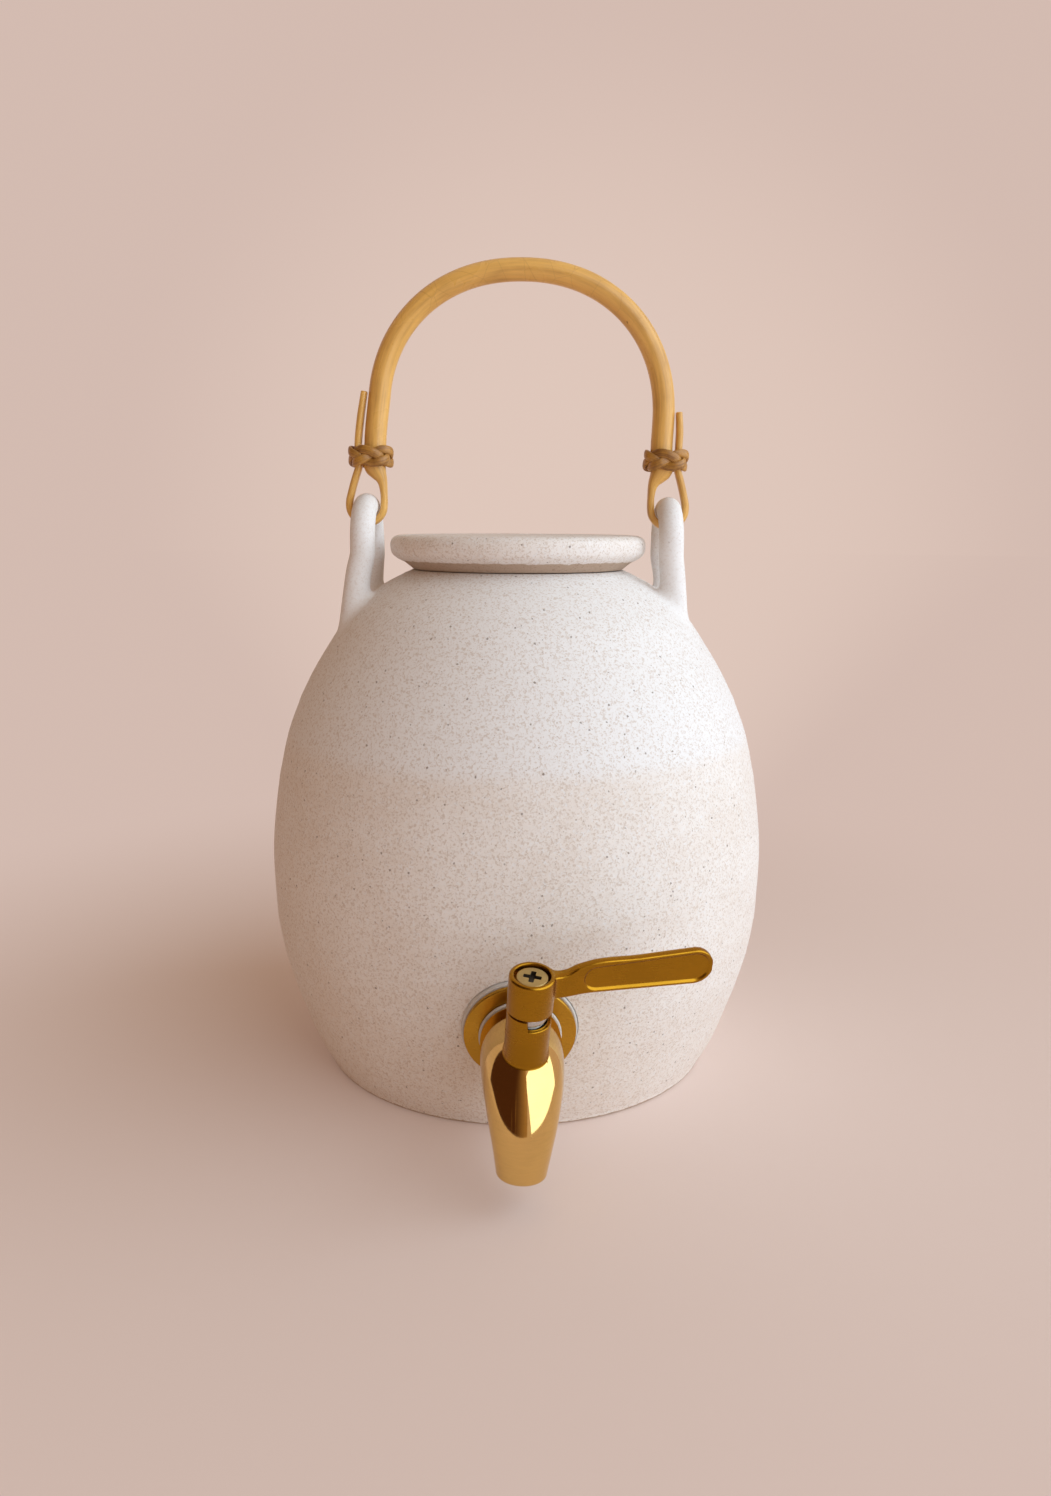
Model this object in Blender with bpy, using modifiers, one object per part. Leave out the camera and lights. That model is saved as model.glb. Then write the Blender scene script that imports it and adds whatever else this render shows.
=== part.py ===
"""Stoneware water pot with a quarter-turn tap, a loose lid and a cane bail handle.

Metres, +Z up. The origin is the centre of the base. The tap faces -Y and its lever, closed, points to +X.
"""

from math import asin, atan2, cos, pi, radians, sin, tau

import bmesh
import bpy
from mathutils import Matrix, Vector

# General clearances
GAP = 0.0003                     # kept between pieces that touch
OVERRUN = 0.002                  # how far a cutter runs past the face it opens
MERGE = 0.00001
SHARP_ANGLE = radians(35)

# Jar
JAR_HEIGHT = 0.1986              # base to mouth rim
BASE_RADIUS = 0.0798
BASE_EDGE = 0.0015               # rounding at the foot
BELLY_RADIUS = 0.0997
BELLY_HEIGHT = 0.088
RIM_OUTER_RADIUS = 0.0418
MOUTH_RADIUS = 0.036
JAR_WALL = 0.0065
FLOOR_THICKNESS = 0.008
FLOOR_CORNER = 0.009
# From the base to the belly: share of the belly height, share of the swell from base to belly
LOWER_WALL_SHARES = ((0.11, 0.23), (0.29, 0.52), (0.47, 0.76), (0.64, 0.92), (0.82, 0.99), (1.0, 1.0))
# From the belly to the rim: share of the height between them, share of the way in that is left
UPPER_WALL_SHARES = (
    (0.15, 0.975), (0.30, 0.927), (0.44, 0.862), (0.54, 0.788), (0.65, 0.680), (0.75, 0.560), (0.83, 0.452),
    (0.90, 0.330), (0.95, 0.190), (1.0, 0.0),
)

# Lugs, an arch over each side of the shoulder
LEFT_ARCH_OFFSET = 0.0600        # jar axis to the plane of the arch
RIGHT_ARCH_OFFSET = 0.0594
ARCH_RISE = 0.0094               # mouth rim up to the arch's centre
LEFT_ARCH_LIFT = 0.0004          # the arches are bent by hand and don't quite match
RIGHT_ARCH_LIFT = -0.0005
ARCH_RADIUS = 0.015
LUG_BAR_RADIUS = 0.0048
LUG_ROOT_RADIUS = 0.0062
LUG_ROOT_SPREAD = 0.0180         # half the distance between the feet of one arch
LUG_ROOT_SHARE = 0.696           # height of the feet, as a share of the way from belly to rim
# Front leg, then rear leg: offset of its root from the jar's axis, and how soon below the arch it leans out
LEFT_LEG_LEANS = ((0.0634, 0.22), (0.0635, 0.90))
RIGHT_LEG_LEANS = ((0.0616, 0.65), (0.0640, 0.68))
LEAN_START_SHARE = 0.04          # the arch stays flat to here, so that the cane loop can slide round it
LEG_SHARES = (LEAN_START_SHARE, 0.12, 0.25, 0.5, 0.75, 1)
LEG_SWELL_POWER = 2.0            # the legs thicken most at the root

# Lid
LID_RADIUS = 0.0506
LID_HEIGHT = 0.0134              # seat to top
LID_FOOT_RADIUS = 0.0416
LID_RING_CLEARANCE = 0.0015      # locating ring to the mouth
LID_RING_WALL = 0.005
LID_RING_DEPTH = 0.007
LID_HOLLOW = 0.004               # underside above the seat inside the ring
# The lid's edge from its top down: share of the overhang past the foot, share of the lid's height
LID_EDGE_SHARES = (
    (0.55, 0.985), (0.82, 0.93), (0.95, 0.82), (1.0, 0.60), (0.95, 0.40), (0.78, 0.29), (0.42, 0.20),
    (0.0, 0.0),
)

# Bail handle
BAIL_RADIUS = 0.0556
BAIL_LIFT = 0.0163               # knots up to where the cane starts to bend in
BAIL_RISE = 0.0537
BAIL_SHIFT = 0.0011              # the bend sits a little to the right
BAIL_FULLNESS = 2.15             # 2 would be a plain ellipse
CANE_TOP_RADIUS = 0.0043
CANE_LEG_RADIUS = 0.0043
LEG_OFFSET = 0.0562
TONGUE_STANDOFF = 0.0067         # middle of the leg to the middle of the tongue bound beside it
LOOP_CLEARANCE = 0.0004          # cane loop round the lug's bar
TONGUE_THICKNESS = 0.0023
TONGUE_WIDTH = 0.0052
LEFT_TONGUE_RISE = 0.0248        # left knot up to its tongue's end
RIGHT_TONGUE_RISE = 0.0165
TONGUE_TIP_SHARE = 0.88          # of the tongue's width and thickness
# From the knot to the bar: share of the drop, share of the way from round leg to flat tongue
SHAVED_SHARES = ((0.15, 0.36), (0.30, 0.72), (0.65, 1.0))
# From the bar up to the knot outside: share of the drop, share of the way out from the knot to the bar's side
OUTER_TONGUE_SHARES = ((0.6, 0.7), (0.2, 0.25), (0, 0))

# Plaited bindings
BINDING_RISE = 0.0187            # lug's bar up to the knot
BINDING_WIDTH = 0.0084           # along the cane
BINDING_LEADS = 3
BINDING_BIGHTS = 5
STRAND_WIDTH = 0.0021
STRAND_THICKNESS = 0.0008
STRAND_LIFT = 0.00082            # half the step between an over and an under crossing
STRAND_END_SHARE = 0.012         # of the strand's run left open between its two tucked ends
BINDING_POINTS = 24              # in one loop

# Heights that follow the jar
LUG_ROOT_HEIGHT = BELLY_HEIGHT + (JAR_HEIGHT - BELLY_HEIGHT) * LUG_ROOT_SHARE
ARCH_CENTRE_HEIGHT = JAR_HEIGHT + ARCH_RISE
BINDING_HEIGHT = ARCH_CENTRE_HEIGHT + ARCH_RADIUS + BINDING_RISE
BAIL_CENTRE_HEIGHT = BINDING_HEIGHT + BAIL_LIFT

# Tap stack, measured outward from the flat seat on the wall
TAP_HEIGHT = 0.0453              # where the tap's axis leaves the wall
TAP_BEARING = radians(1.1)       # the seat lies a little to the right of the jar's front
TAP_SKEW = radians(2.2)          # and as cut by hand looks a little further right
TAP_LEAN = radians(3)            # the tap as tightened leans to the right
SEAT_DEPTH = 0.0024              # flat cut into the round wall
INNER_SEAT_MARGIN = 0.0016       # flat inside the wall, round the inner seal
FLANGE_RADIUS = 0.0194
FLANGE_THICKNESS = 0.0018
OUTER_SEAL_RADIUS = 0.0201
SEAL_THICKNESS = 0.002
BODY_SEAL_RADIUS = 0.0143
BODY_SEAL_THICKNESS = 0.001
SHANK_RADIUS = 0.0079
SHANK_LENGTH = 0.030             # behind the barrel's back face
SHANK_BORE_RADIUS = 0.0045
INNER_SEAL_RADIUS = 0.014
BACKING_RADIUS = 0.0135
BACKING_THICKNESS = 0.0015
NUT_ACROSS_FLATS = 0.022
NUT_THICKNESS = 0.006

# Tap body
BARREL_RADIUS = 0.0138
SPOUT_REACH = 0.0380             # back face to the spout end's centre, along the tap's axis
SPOUT_DROP = 0.0222              # tap's axis to the spout end's centre
SPOUT_TURN = radians(72)
SPOUT_END_RADIUS = 0.0083
SPOUT_LIP = 0.0018               # rounding of the spout's end
OUTLET_RADIUS = 0.0061
PASSAGE_RADIUS = 0.0045
# Along the spout: share of the reach, of the drop, of the turn, of the barrel radius across and in depth
SPOUT_SHARES = (
    (0.00, 0.00, 0.00, 1.00, 1.00), (0.10, 0.00, 0.00, 1.01, 1.01), (0.28, 0.01, 0.04, 1.01, 1.00),
    (0.46, 0.05, 0.16, 0.98, 0.95), (0.62, 0.14, 0.33, 0.91, 0.86), (0.76, 0.30, 0.54, 0.82, 0.76),
    (0.87, 0.52, 0.74, 0.73, 0.68), (0.95, 0.77, 0.90, 0.65, 0.62),
)
STEM_OFFSET = 0.0205             # barrel's back face to the stem's axis
COLLAR_RADIUS = 0.0072
COLLAR_TOP = 0.0277              # above the tap's axis
COLLAR_FOOT = 0.004
NOTCH_DEPTH = 0.0036

# Valve
SPINDLE_RADIUS = 0.0050
STEM_RADIUS = 0.0036
SPINDLE_FOOT = 0.0075            # below the tap's axis
SHOULDER_HEIGHT = 0.0236
SPINDLE_PORT_RADIUS = 0.0035
O_RING_SECTION = 0.00055
GROOVE_WIDTH = 0.0017
LOWER_GROOVE = -0.0057
UPPER_GROOVE = 0.0098
GLAND_RADIUS = 0.0058
GLAND_HEIGHT = 0.0022
THRUST_RADIUS = 0.0050
THRUST_THICKNESS = 0.0008
INLET_SEAT_LENGTH = 0.006
INLET_SEAT_RADIUS = 0.0042
INLET_SEAT_BORE = 0.0032

# Lever
HUB_RADIUS = 0.0074
HUB_LIFT = 0.0006                # gap between the collar and the hub's rim
HUB_HEIGHT = 0.0127
HUB_RECESS_RADIUS = 0.00585
HUB_RECESS_DEPTH = 0.0037
DRIVE_FLAT = 0.0030              # stem's axis to each flat of the double-D
DRIVE_LENGTH = 0.009
LEVER_LENGTH = 0.0590            # stem's axis to the tip
PADDLE_HEIGHT = 0.0128           # at the tip
PADDLE_ROOT_HEIGHT = 0.0108
PADDLE_THICKNESS = 0.0028
PADDLE_START = 0.0172
NECK_WAIST = 0.0098
NECK_HEIGHT = 0.0083
PADDLE_RISE = 0.0031             # paddle's upper edge above the hub's top, at the crank
PADDLE_RAKE = radians(3.7)
# The upper edge from the paddle back to the neck: share of the crank's length, share of its drop
CRANK_SHARES = ((0, 0), (0.35, 0.30), (0.75, 0.85))
PANEL_MARGIN = 0.0013
PANEL_DEPTH = 0.0005
TAB_WIDTH = 0.0028
LEVER_CLOSED = radians(98)       # bearing of the closed lever about the stem, from straight over the spout
LEVER_TRAVEL = radians(90)       # closed to open
SCREW_HEAD_RADIUS = 0.0051
SCREW_HEAD_HEIGHT = 0.0018
SCREW_RADIUS = 0.0016
SCREW_LENGTH = 0.0085
SCREW_HOLE_RADIUS = 0.0019
CROSS_LENGTH = 0.0052
CROSS_WIDTH = 0.0011
CROSS_DEPTH = 0.0010
CROSS_TURN = radians(-22)        # where the screw happened to stop
SPRING_WASHER_RADIUS = 0.0043
SPRING_WASHER_BORE = 0.0019
SPRING_WASHER_THICKNESS = 0.0008
SPRING_WASHER_SLIT = radians(12)

# Finishes: colour, roughness, metallic
GLAZE = ((0.80, 0.78, 0.75), 0.45)
LID_GLAZE = ((0.78, 0.76, 0.72), 0.45)
CANE = ((0.72, 0.50, 0.24), 0.5)
RATTAN = ((0.50, 0.31, 0.12), 0.45)
SILICONE = ((0.82, 0.81, 0.78), 0.6)
RUBBER = ((0.03, 0.03, 0.03), 0.6)
PLASTIC = ((0.85, 0.85, 0.83), 0.5)
POLISHED_GOLD = ((0.72, 0.48, 0.16), 0.2, 1.0)
SATIN_GOLD = ((0.70, 0.45, 0.14), 0.35, 1.0)
SCREW_BRASS = ((0.75, 0.60, 0.30), 0.3, 1.0)
STEEL = ((0.64, 0.64, 0.64), 0.3, 1.0)

# Facets
JAR_FACETS = 56
RING_FACETS = 32
TAP_FACETS = 28
CANE_FACETS = 12
STRAND_FACETS = 7
O_RING_FACETS = 5
LUG_FACETS = 14
ARCH_STEPS = 7
BAIL_STEPS = 14
LOOP_STEPS = 10
ROUND_STEPS = 12                 # half turn of the paddle's end


def clear_scene():
    for item in list(bpy.data.objects):
        bpy.data.objects.remove(item, do_unlink=True)


def collection(name):
    group = bpy.data.collections.new(name)
    bpy.context.scene.collection.children.link(group)
    return group


def material(name, colour, roughness, metallic=0.0):
    made = bpy.data.materials.new(name)
    made.use_nodes = True
    shader = made.node_tree.nodes["Principled BSDF"]
    shader.inputs["Base Color"].default_value = (*colour, 1.0)
    shader.inputs["Roughness"].default_value = roughness
    shader.inputs["Metallic"].default_value = metallic
    return made


class Builder:
    """Collects the named pieces and the cutters that shape them."""

    def __init__(self):
        self.parts = collection("stoneware_water_pot")
        self.cutters = collection("cutters")

    def place(self, name, mesh, finish, parent=None, cutter=False):
        item = bpy.data.objects.new(name, mesh)
        group = self.cutters if cutter else self.parts
        group.objects.link(item)
        item.parent = parent
        if cutter:
            item.hide_render = True
            item.display_type = "WIRE"
            return item
        mesh.materials.append(material(name, *finish))
        mesh.shade_smooth()
        mesh.set_sharp_from_angle(angle=SHARP_ANGLE)
        return item

    def frame(self, name, place=(0, 0, 0), turn=None, parent=None):
        item = bpy.data.objects.new(name, None)
        self.parts.objects.link(item)
        item.parent = parent
        item.matrix_local = Matrix.Translation(place) @ (turn or Matrix.Identity(3)).to_4x4()
        return item

    def turned(self, name, profile, finish=None, parent=None, facets=RING_FACETS, closed=True):
        """A profile of (radius, height) points, outer side top to bottom, turned about local Z."""
        mesh = bpy.data.meshes.new(name)
        shape = bmesh.new()
        corners = [shape.verts.new((radius, 0, height)) for radius, height in profile]
        for first, second in zip(corners, corners[1:]):
            shape.edges.new((first, second))
        if closed:
            shape.edges.new((corners[-1], corners[0]))
        shape.to_mesh(mesh)
        shape.free()
        item = self.place(name, mesh, finish, parent, cutter=finish is None)
        turn = item.modifiers.new("turn", "SCREW")
        turn.axis = "Z"
        turn.steps = facets
        turn.render_steps = facets
        turn.use_merge_vertices = True
        turn.merge_threshold = MERGE
        turn.use_smooth_shade = True
        return item

    def ring(self, name, inner, outer, low, high, finish=None, parent=None, facets=RING_FACETS):
        profile = ((outer, high), (outer, low), (inner, low), (inner, high))
        return self.turned(name, profile, finish, parent, facets)

    def disc(self, name, radius, low, high, finish=None, parent=None, facets=RING_FACETS):
        profile = ((0, high), (radius, high), (radius, low), (0, low))
        return self.turned(name, profile, finish, parent, facets, closed=False)

    def sweep(self, name, sections, finish=None, parent=None):
        """A tube lofted through rings of points, closed by a flat cap at each end."""
        mesh = bpy.data.meshes.new(name)
        shape = bmesh.new()
        rings = [[shape.verts.new(point) for point in section] for section in sections]
        for first, second in zip(rings, rings[1:]):
            count = len(first)
            for index in range(count):
                after = (index + 1) % count
                shape.faces.new((first[index], first[after], second[after], second[index]))
        shape.faces.new(rings[0])
        shape.faces.new(rings[-1])
        bmesh.ops.recalc_face_normals(shape, faces=shape.faces)
        shape.to_mesh(mesh)
        shape.free()
        return self.place(name, mesh, finish, parent, cutter=finish is None)

    def prism(self, name, outline, low, high, finish=None, parent=None, turn=None):
        """A flat outline of (x, y) points raised from low to high along local Z, then turned."""
        mesh = bpy.data.meshes.new(name)
        shape = bmesh.new()
        face = shape.faces.new([shape.verts.new((x, y, low)) for x, y in outline])
        raised = bmesh.ops.extrude_face_region(shape, geom=[face])
        top = [item for item in raised["geom"] if isinstance(item, bmesh.types.BMVert)]
        bmesh.ops.translate(shape, verts=top, vec=(0, 0, high - low))
        bmesh.ops.recalc_face_normals(shape, faces=shape.faces)
        if turn:
            bmesh.ops.transform(shape, matrix=turn.to_4x4(), verts=shape.verts)
        shape.to_mesh(mesh)
        shape.free()
        return self.place(name, mesh, finish, parent, cutter=finish is None)


def combine(item, other, how="DIFFERENCE"):
    change = item.modifiers.new(f"{how.lower()}_{other.name}", "BOOLEAN")
    change.operation = how
    change.object = other
    change.solver = "EXACT"


def tangents(path):
    last = len(path) - 1
    return [(path[min(i + 1, last)] - path[max(i - 1, 0)]).normalized() for i in range(last + 1)]


def oval(centre, across, along, half_across, half_along, facets):
    points = []
    for index in range(facets):
        angle = tau * (index + 1 / 2) / facets
        points.append(centre + across * half_across * cos(angle) + along * half_along * sin(angle))
    return points


# Jar


def wall_points():
    """The jar's outer wall as (radius, height), base to rim."""
    points = [(BASE_RADIUS - BASE_EDGE, 0.0), (BASE_RADIUS, BASE_EDGE)]
    swell = BELLY_RADIUS - BASE_RADIUS
    for height_share, swell_share in LOWER_WALL_SHARES:
        points.append((BASE_RADIUS + swell * swell_share, BELLY_HEIGHT * height_share))
    rise = JAR_HEIGHT - BELLY_HEIGHT
    shoulder = BELLY_RADIUS - RIM_OUTER_RADIUS
    for height_share, left_share in UPPER_WALL_SHARES:
        points.append((RIM_OUTER_RADIUS + shoulder * left_share, BELLY_HEIGHT + rise * height_share))
    return points


def wall_radius(height):
    points = wall_points()
    for (low_radius, low), (high_radius, high) in zip(points, points[1:]):
        if low <= height <= high:
            return low_radius + (high_radius - low_radius) * (height - low) / (high - low)
    return points[-1][0]


def cavity_points():
    """The inside of the jar as (radius, height), floor to mouth: the wall moved in by its thickness."""
    outer = wall_points()[1:]
    inner = []
    for before, here, after in zip(outer, outer[1:], outer[2:]):
        run = Vector((after[0] - before[0], after[1] - before[1])).normalized()
        radius = here[0] - run.y * JAR_WALL
        height = here[1] + run.x * JAR_WALL
        if height > FLOOR_THICKNESS + FLOOR_CORNER and radius > MOUTH_RADIUS + JAR_WALL / 2:
            inner.append((radius, height))
    corner_radius = wall_radius(FLOOR_THICKNESS + FLOOR_CORNER) - JAR_WALL
    corner = [
        (corner_radius - FLOOR_CORNER * (1 - sin(angle)), FLOOR_THICKNESS + FLOOR_CORNER * (1 - cos(angle)))
        for angle in (0, pi / 6, pi / 3)
    ]
    slope = (inner[-1][1] - inner[-2][1]) / (inner[-1][0] - inner[-2][0])
    neck_height = inner[-1][1] + (MOUTH_RADIUS - inner[-1][0]) * slope
    return [*corner, *inner, (MOUTH_RADIUS, neck_height)]


def lug_leg(arch_offset, lean, lift, side, front):
    """One half of an arch's centreline, from its top to its foot."""
    root_offset, power = lean
    centre = ARCH_CENTRE_HEIGHT + lift
    path = []
    for step in range(ARCH_STEPS + 1):
        angle = pi / 2 * step / ARCH_STEPS
        reach = front * ARCH_RADIUS * sin(angle)
        path.append(Vector((side * arch_offset, reach, centre + ARCH_RADIUS * cos(angle))))
    for share in LEG_SHARES:
        leaned = ((share - LEAN_START_SHARE) / (1 - LEAN_START_SHARE)) ** power
        offset = arch_offset + (root_offset - arch_offset) * leaned
        reach = ARCH_RADIUS + (LUG_ROOT_SPREAD - ARCH_RADIUS) * share
        path.append(Vector((side * offset, front * reach, centre - (centre - LUG_ROOT_HEIGHT) * share)))
    return path


def lug_sections(side, arch_offset, leans, lift):
    front = lug_leg(arch_offset, leans[0], lift, side, -1)
    rear = lug_leg(arch_offset, leans[1], lift, side, 1)
    centres = [*reversed(front), *rear[1:]]
    sections = []
    for centre, along in zip(centres, tangents(centres)):
        depth_share = max(0, ARCH_CENTRE_HEIGHT - centre.z) / (ARCH_CENTRE_HEIGHT - LUG_ROOT_HEIGHT)
        radius = LUG_BAR_RADIUS + (LUG_ROOT_RADIUS - LUG_BAR_RADIUS) * depth_share ** LEG_SWELL_POWER
        across = along.cross(Vector((side, 0, 0))).normalized()
        outward = across.cross(along).normalized()
        sections.append(oval(centre, outward, across, radius, radius, LUG_FACETS))
    return sections


def tap_seat():
    """Centre of the flat seat and the tilt of the tap's axis below level."""
    span = FLANGE_RADIUS / 2
    rise = wall_radius(TAP_HEIGHT + span) - wall_radius(TAP_HEIGHT - span)
    tilt = atan2(rise, 2 * span)
    reach = wall_radius(TAP_HEIGHT) - SEAT_DEPTH * cos(tilt)
    return Vector((0, -reach, TAP_HEIGHT + SEAT_DEPTH * sin(tilt))), tilt


def add_jar(build, tap_axis):
    profile = [(0, JAR_HEIGHT), *reversed(wall_points()), (0, 0)]
    jar = build.turned("jar_body", profile, GLAZE, facets=JAR_FACETS, closed=False)
    mouth_top = JAR_HEIGHT + OVERRUN
    inside = [(0, FLOOR_THICKNESS), *cavity_points(), (MOUTH_RADIUS, mouth_top), (0, mouth_top)]
    combine(jar, build.turned("cavity", inside[::-1], facets=JAR_FACETS, closed=False))
    pad = JAR_WALL - SEAT_DEPTH
    inner_seat_radius = INNER_SEAL_RADIUS + INNER_SEAT_MARGIN
    combine(jar, build.disc("seat_cut", OUTER_SEAL_RADIUS + GAP, 0, JAR_WALL, parent=tap_axis))
    combine(jar, build.disc("inner_seat_cut", inner_seat_radius, -JAR_WALL - pad, -pad, parent=tap_axis))
    combine(jar, build.disc("tap_hole", SHANK_RADIUS + GAP, -JAR_WALL - pad, JAR_WALL, parent=tap_axis))


def add_lugs(build):
    """The two arches, each cut at its feet to sit on the shoulder."""
    bed_profile = [(radius + GAP, height) for radius, height in reversed(wall_points())]
    bed = build.turned("lug_bed", [(0, JAR_HEIGHT), *bed_profile, (0, 0)], facets=JAR_FACETS, closed=False)
    left = lug_sections(-1, LEFT_ARCH_OFFSET, LEFT_LEG_LEANS, LEFT_ARCH_LIFT)
    right = lug_sections(1, RIGHT_ARCH_OFFSET, RIGHT_LEG_LEANS, RIGHT_ARCH_LIFT)
    combine(build.sweep("left_lug", left, GLAZE), bed)
    combine(build.sweep("right_lug", right, GLAZE), bed)


# Lid


def add_lid(build):
    ring_outer = MOUTH_RADIUS - LID_RING_CLEARANCE
    ring_inner = ring_outer - LID_RING_WALL
    profile = [(0, LID_HEIGHT)]
    for overhang_share, height_share in LID_EDGE_SHARES:
        radius = LID_FOOT_RADIUS + (LID_RADIUS - LID_FOOT_RADIUS) * overhang_share
        profile.append((radius, LID_HEIGHT * height_share))
    profile += [
        (ring_outer, 0), (ring_outer, -LID_RING_DEPTH), (ring_inner, -LID_RING_DEPTH),
        (ring_inner - LID_HOLLOW / 2, LID_HOLLOW / 2), (ring_inner - LID_HOLLOW, LID_HOLLOW), (0, LID_HOLLOW),
    ]
    lid = build.turned("lid", profile, LID_GLAZE, facets=JAR_FACETS, closed=False)
    lid.location.z = JAR_HEIGHT + GAP


# Handle


def tongue_at_cane():
    """From the cane's centreline to that of a tongue lying against it."""
    return CANE_LEG_RADIUS + GAP + TONGUE_THICKNESS / 2


def bail_point(angle, side, out=0.0):
    """Offset and height of a point of the bail, an angle from its top, moved out from its centreline."""
    power = 2 / BAIL_FULLNESS
    offset = (BAIL_RADIUS + out) * sin(angle) ** power
    height = BAIL_CENTRE_HEIGHT + (BAIL_RISE + out) * cos(angle) ** power
    return offset + side * BAIL_SHIFT, height


def handle_half(side, arch_offset, lift, tongue_rise):
    """(offset, height, half width, half thickness) from the top of the bail to the end of one tongue."""
    loop = LUG_BAR_RADIUS + LOOP_CLEARANCE + TONGUE_THICKNESS / 2
    bar_height = ARCH_CENTRE_HEIGHT + lift + ARCH_RADIUS
    half_width = TONGUE_WIDTH / 2
    half_thick = TONGUE_THICKNESS / 2
    half = []
    for step in range(BAIL_STEPS):
        share = step / BAIL_STEPS
        cane = CANE_TOP_RADIUS + (CANE_LEG_RADIUS - CANE_TOP_RADIUS) * share
        half.append((*bail_point(pi / 2 * share, side), cane, cane))
    knot_top = BINDING_HEIGHT + lift + BINDING_WIDTH / 2
    knot_foot = BINDING_HEIGHT + lift - BINDING_WIDTH / 2
    inner = arch_offset - loop
    shaved = knot_foot - bar_height
    for height in (knot_top, knot_foot):
        half.append((LEG_OFFSET, height, CANE_LEG_RADIUS, CANE_LEG_RADIUS))
    for drop_share, slim_share in SHAVED_SHARES:
        half.append((
            LEG_OFFSET + (inner - LEG_OFFSET) * slim_share, knot_foot - shaved * drop_share,
            CANE_LEG_RADIUS + (half_width - CANE_LEG_RADIUS) * slim_share,
            CANE_LEG_RADIUS + (half_thick - CANE_LEG_RADIUS) * slim_share,
        ))
    for step in range(LOOP_STEPS + 1):
        angle = pi * step / LOOP_STEPS
        half.append((arch_offset - loop * cos(angle), bar_height - loop * sin(angle), half_width, half_thick))
    beside = LEG_OFFSET + TONGUE_STANDOFF
    outer = arch_offset + loop
    for drop_share, out_share in OUTER_TONGUE_SHARES:
        offset = beside + (outer - beside) * out_share
        half.append((offset, knot_foot - shaved * drop_share, half_width, half_thick))
    half.append((beside, knot_top, half_width, half_thick))
    end_share = (tongue_rise - BAIL_LIFT) / (BAIL_RISE + tongue_at_cane())
    end_angle = asin(max(0, end_share) ** (BAIL_FULLNESS / 2))
    end_offset, end_height = bail_point(pi / 2 - end_angle, side, tongue_at_cane())
    half.append(((beside + end_offset) / 2 + GAP, (knot_top + end_height) / 2, half_width, half_thick))
    half.append((end_offset, end_height, half_width * TONGUE_TIP_SHARE, half_thick * TONGUE_TIP_SHARE))
    return half


def add_handle(build, frame):
    left_half = handle_half(-1, LEFT_ARCH_OFFSET, LEFT_ARCH_LIFT, LEFT_TONGUE_RISE)
    left = [(-offset, *rest) for offset, *rest in left_half]
    right = handle_half(1, RIGHT_ARCH_OFFSET, RIGHT_ARCH_LIFT, RIGHT_TONGUE_RISE)
    stations = [*reversed(left), *right[1:]]
    centres = [Vector((x, 0, z - ARCH_CENTRE_HEIGHT)) for x, z, _, _ in stations]
    across = Vector((0, 1, 0))
    sections = []
    for centre, along, (_, _, half_width, half_thick) in zip(centres, tangents(centres), stations):
        sections.append(oval(centre, across, along.cross(across), half_width, half_thick, CANE_FACETS))
    build.sweep("handle_cane", sections, CANE, frame)


def oval_track(share, radius, straight):
    """Point and outward normal at a share of the way round an oval of two half circles and two straights."""
    straight_run = 2 * straight
    curve_run = pi * radius
    along = (share % 1.0) * (2 * curve_run + 2 * straight_run)
    if along < curve_run:
        angle = -pi / 2 + along / radius
        shift = straight
    elif along < curve_run + straight_run:
        angle = pi / 2
        shift = straight - (along - curve_run)
    elif along < 2 * curve_run + straight_run:
        angle = pi / 2 + (along - curve_run - straight_run) / radius
        shift = -straight
    else:
        angle = -pi / 2
        shift = -straight + (along - 2 * curve_run - straight_run)
    normal = Vector((cos(angle), sin(angle), 0))
    return Vector((shift, 0, 0)), normal


def strand_sections():
    """One strand plaited round the cane and its tongue: three turns, weaving over and under itself."""
    core_radius = CANE_LEG_RADIUS + GAP
    straight = (TONGUE_STANDOFF + TONGUE_THICKNESS / 2 - CANE_LEG_RADIUS) / 2
    track_radius = core_radius + STRAND_THICKNESS / 2 + STRAND_LIFT
    swing = (BINDING_WIDTH - STRAND_WIDTH) / 2
    count = BINDING_LEADS * BINDING_POINTS
    centres = []
    normals = []
    for index in range(count + 1):
        run = BINDING_LEADS * (STRAND_END_SHARE + (1 - 2 * STRAND_END_SHARE) * index / count)
        phase = tau * run * BINDING_BIGHTS / BINDING_LEADS
        shift, normal = oval_track(run, track_radius, straight)
        radius = track_radius + STRAND_LIFT * sin(2 * phase)
        centres.append(shift + normal * radius + Vector((0, 0, swing * cos(phase))))
        normals.append(normal)
    sections = []
    for centre, along, normal in zip(centres, tangents(centres), normals):
        across = along.cross(normal).normalized()
        lift = across.cross(along).normalized()
        sections.append(oval(centre, across, lift, STRAND_WIDTH / 2, STRAND_THICKNESS / 2, STRAND_FACETS))
    return centres, sections


def report_strand_gap(centres, sections):
    """Prints the least gap between stretches of the strand that aren't neighbours along it."""
    apart = 6
    least = min(
        (near - far).length
        for first, ring in enumerate(sections)
        for second in range(first + apart, len(sections))
        if (centres[first] - centres[second]).length < STRAND_WIDTH * 2
        for near in ring
        for far in sections[second]
    )
    print(f"binding strand: least gap to itself {least * 1000:.2f} mm")


def add_bindings(build, frame):
    centres, sections = strand_sections()
    report_strand_gap(centres, sections)
    middle = LEG_OFFSET + (TONGUE_STANDOFF + TONGUE_THICKNESS / 2 - CANE_LEG_RADIUS) / 2
    height = BINDING_HEIGHT - ARCH_CENTRE_HEIGHT
    left = build.sweep("left_binding", sections, RATTAN, frame)
    left.location = (-middle, 0, height + LEFT_ARCH_LIFT)
    right = build.sweep("right_binding", sections, RATTAN, frame)
    right.location = (middle, 0, height + RIGHT_ARCH_LIFT)


# Tap


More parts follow.
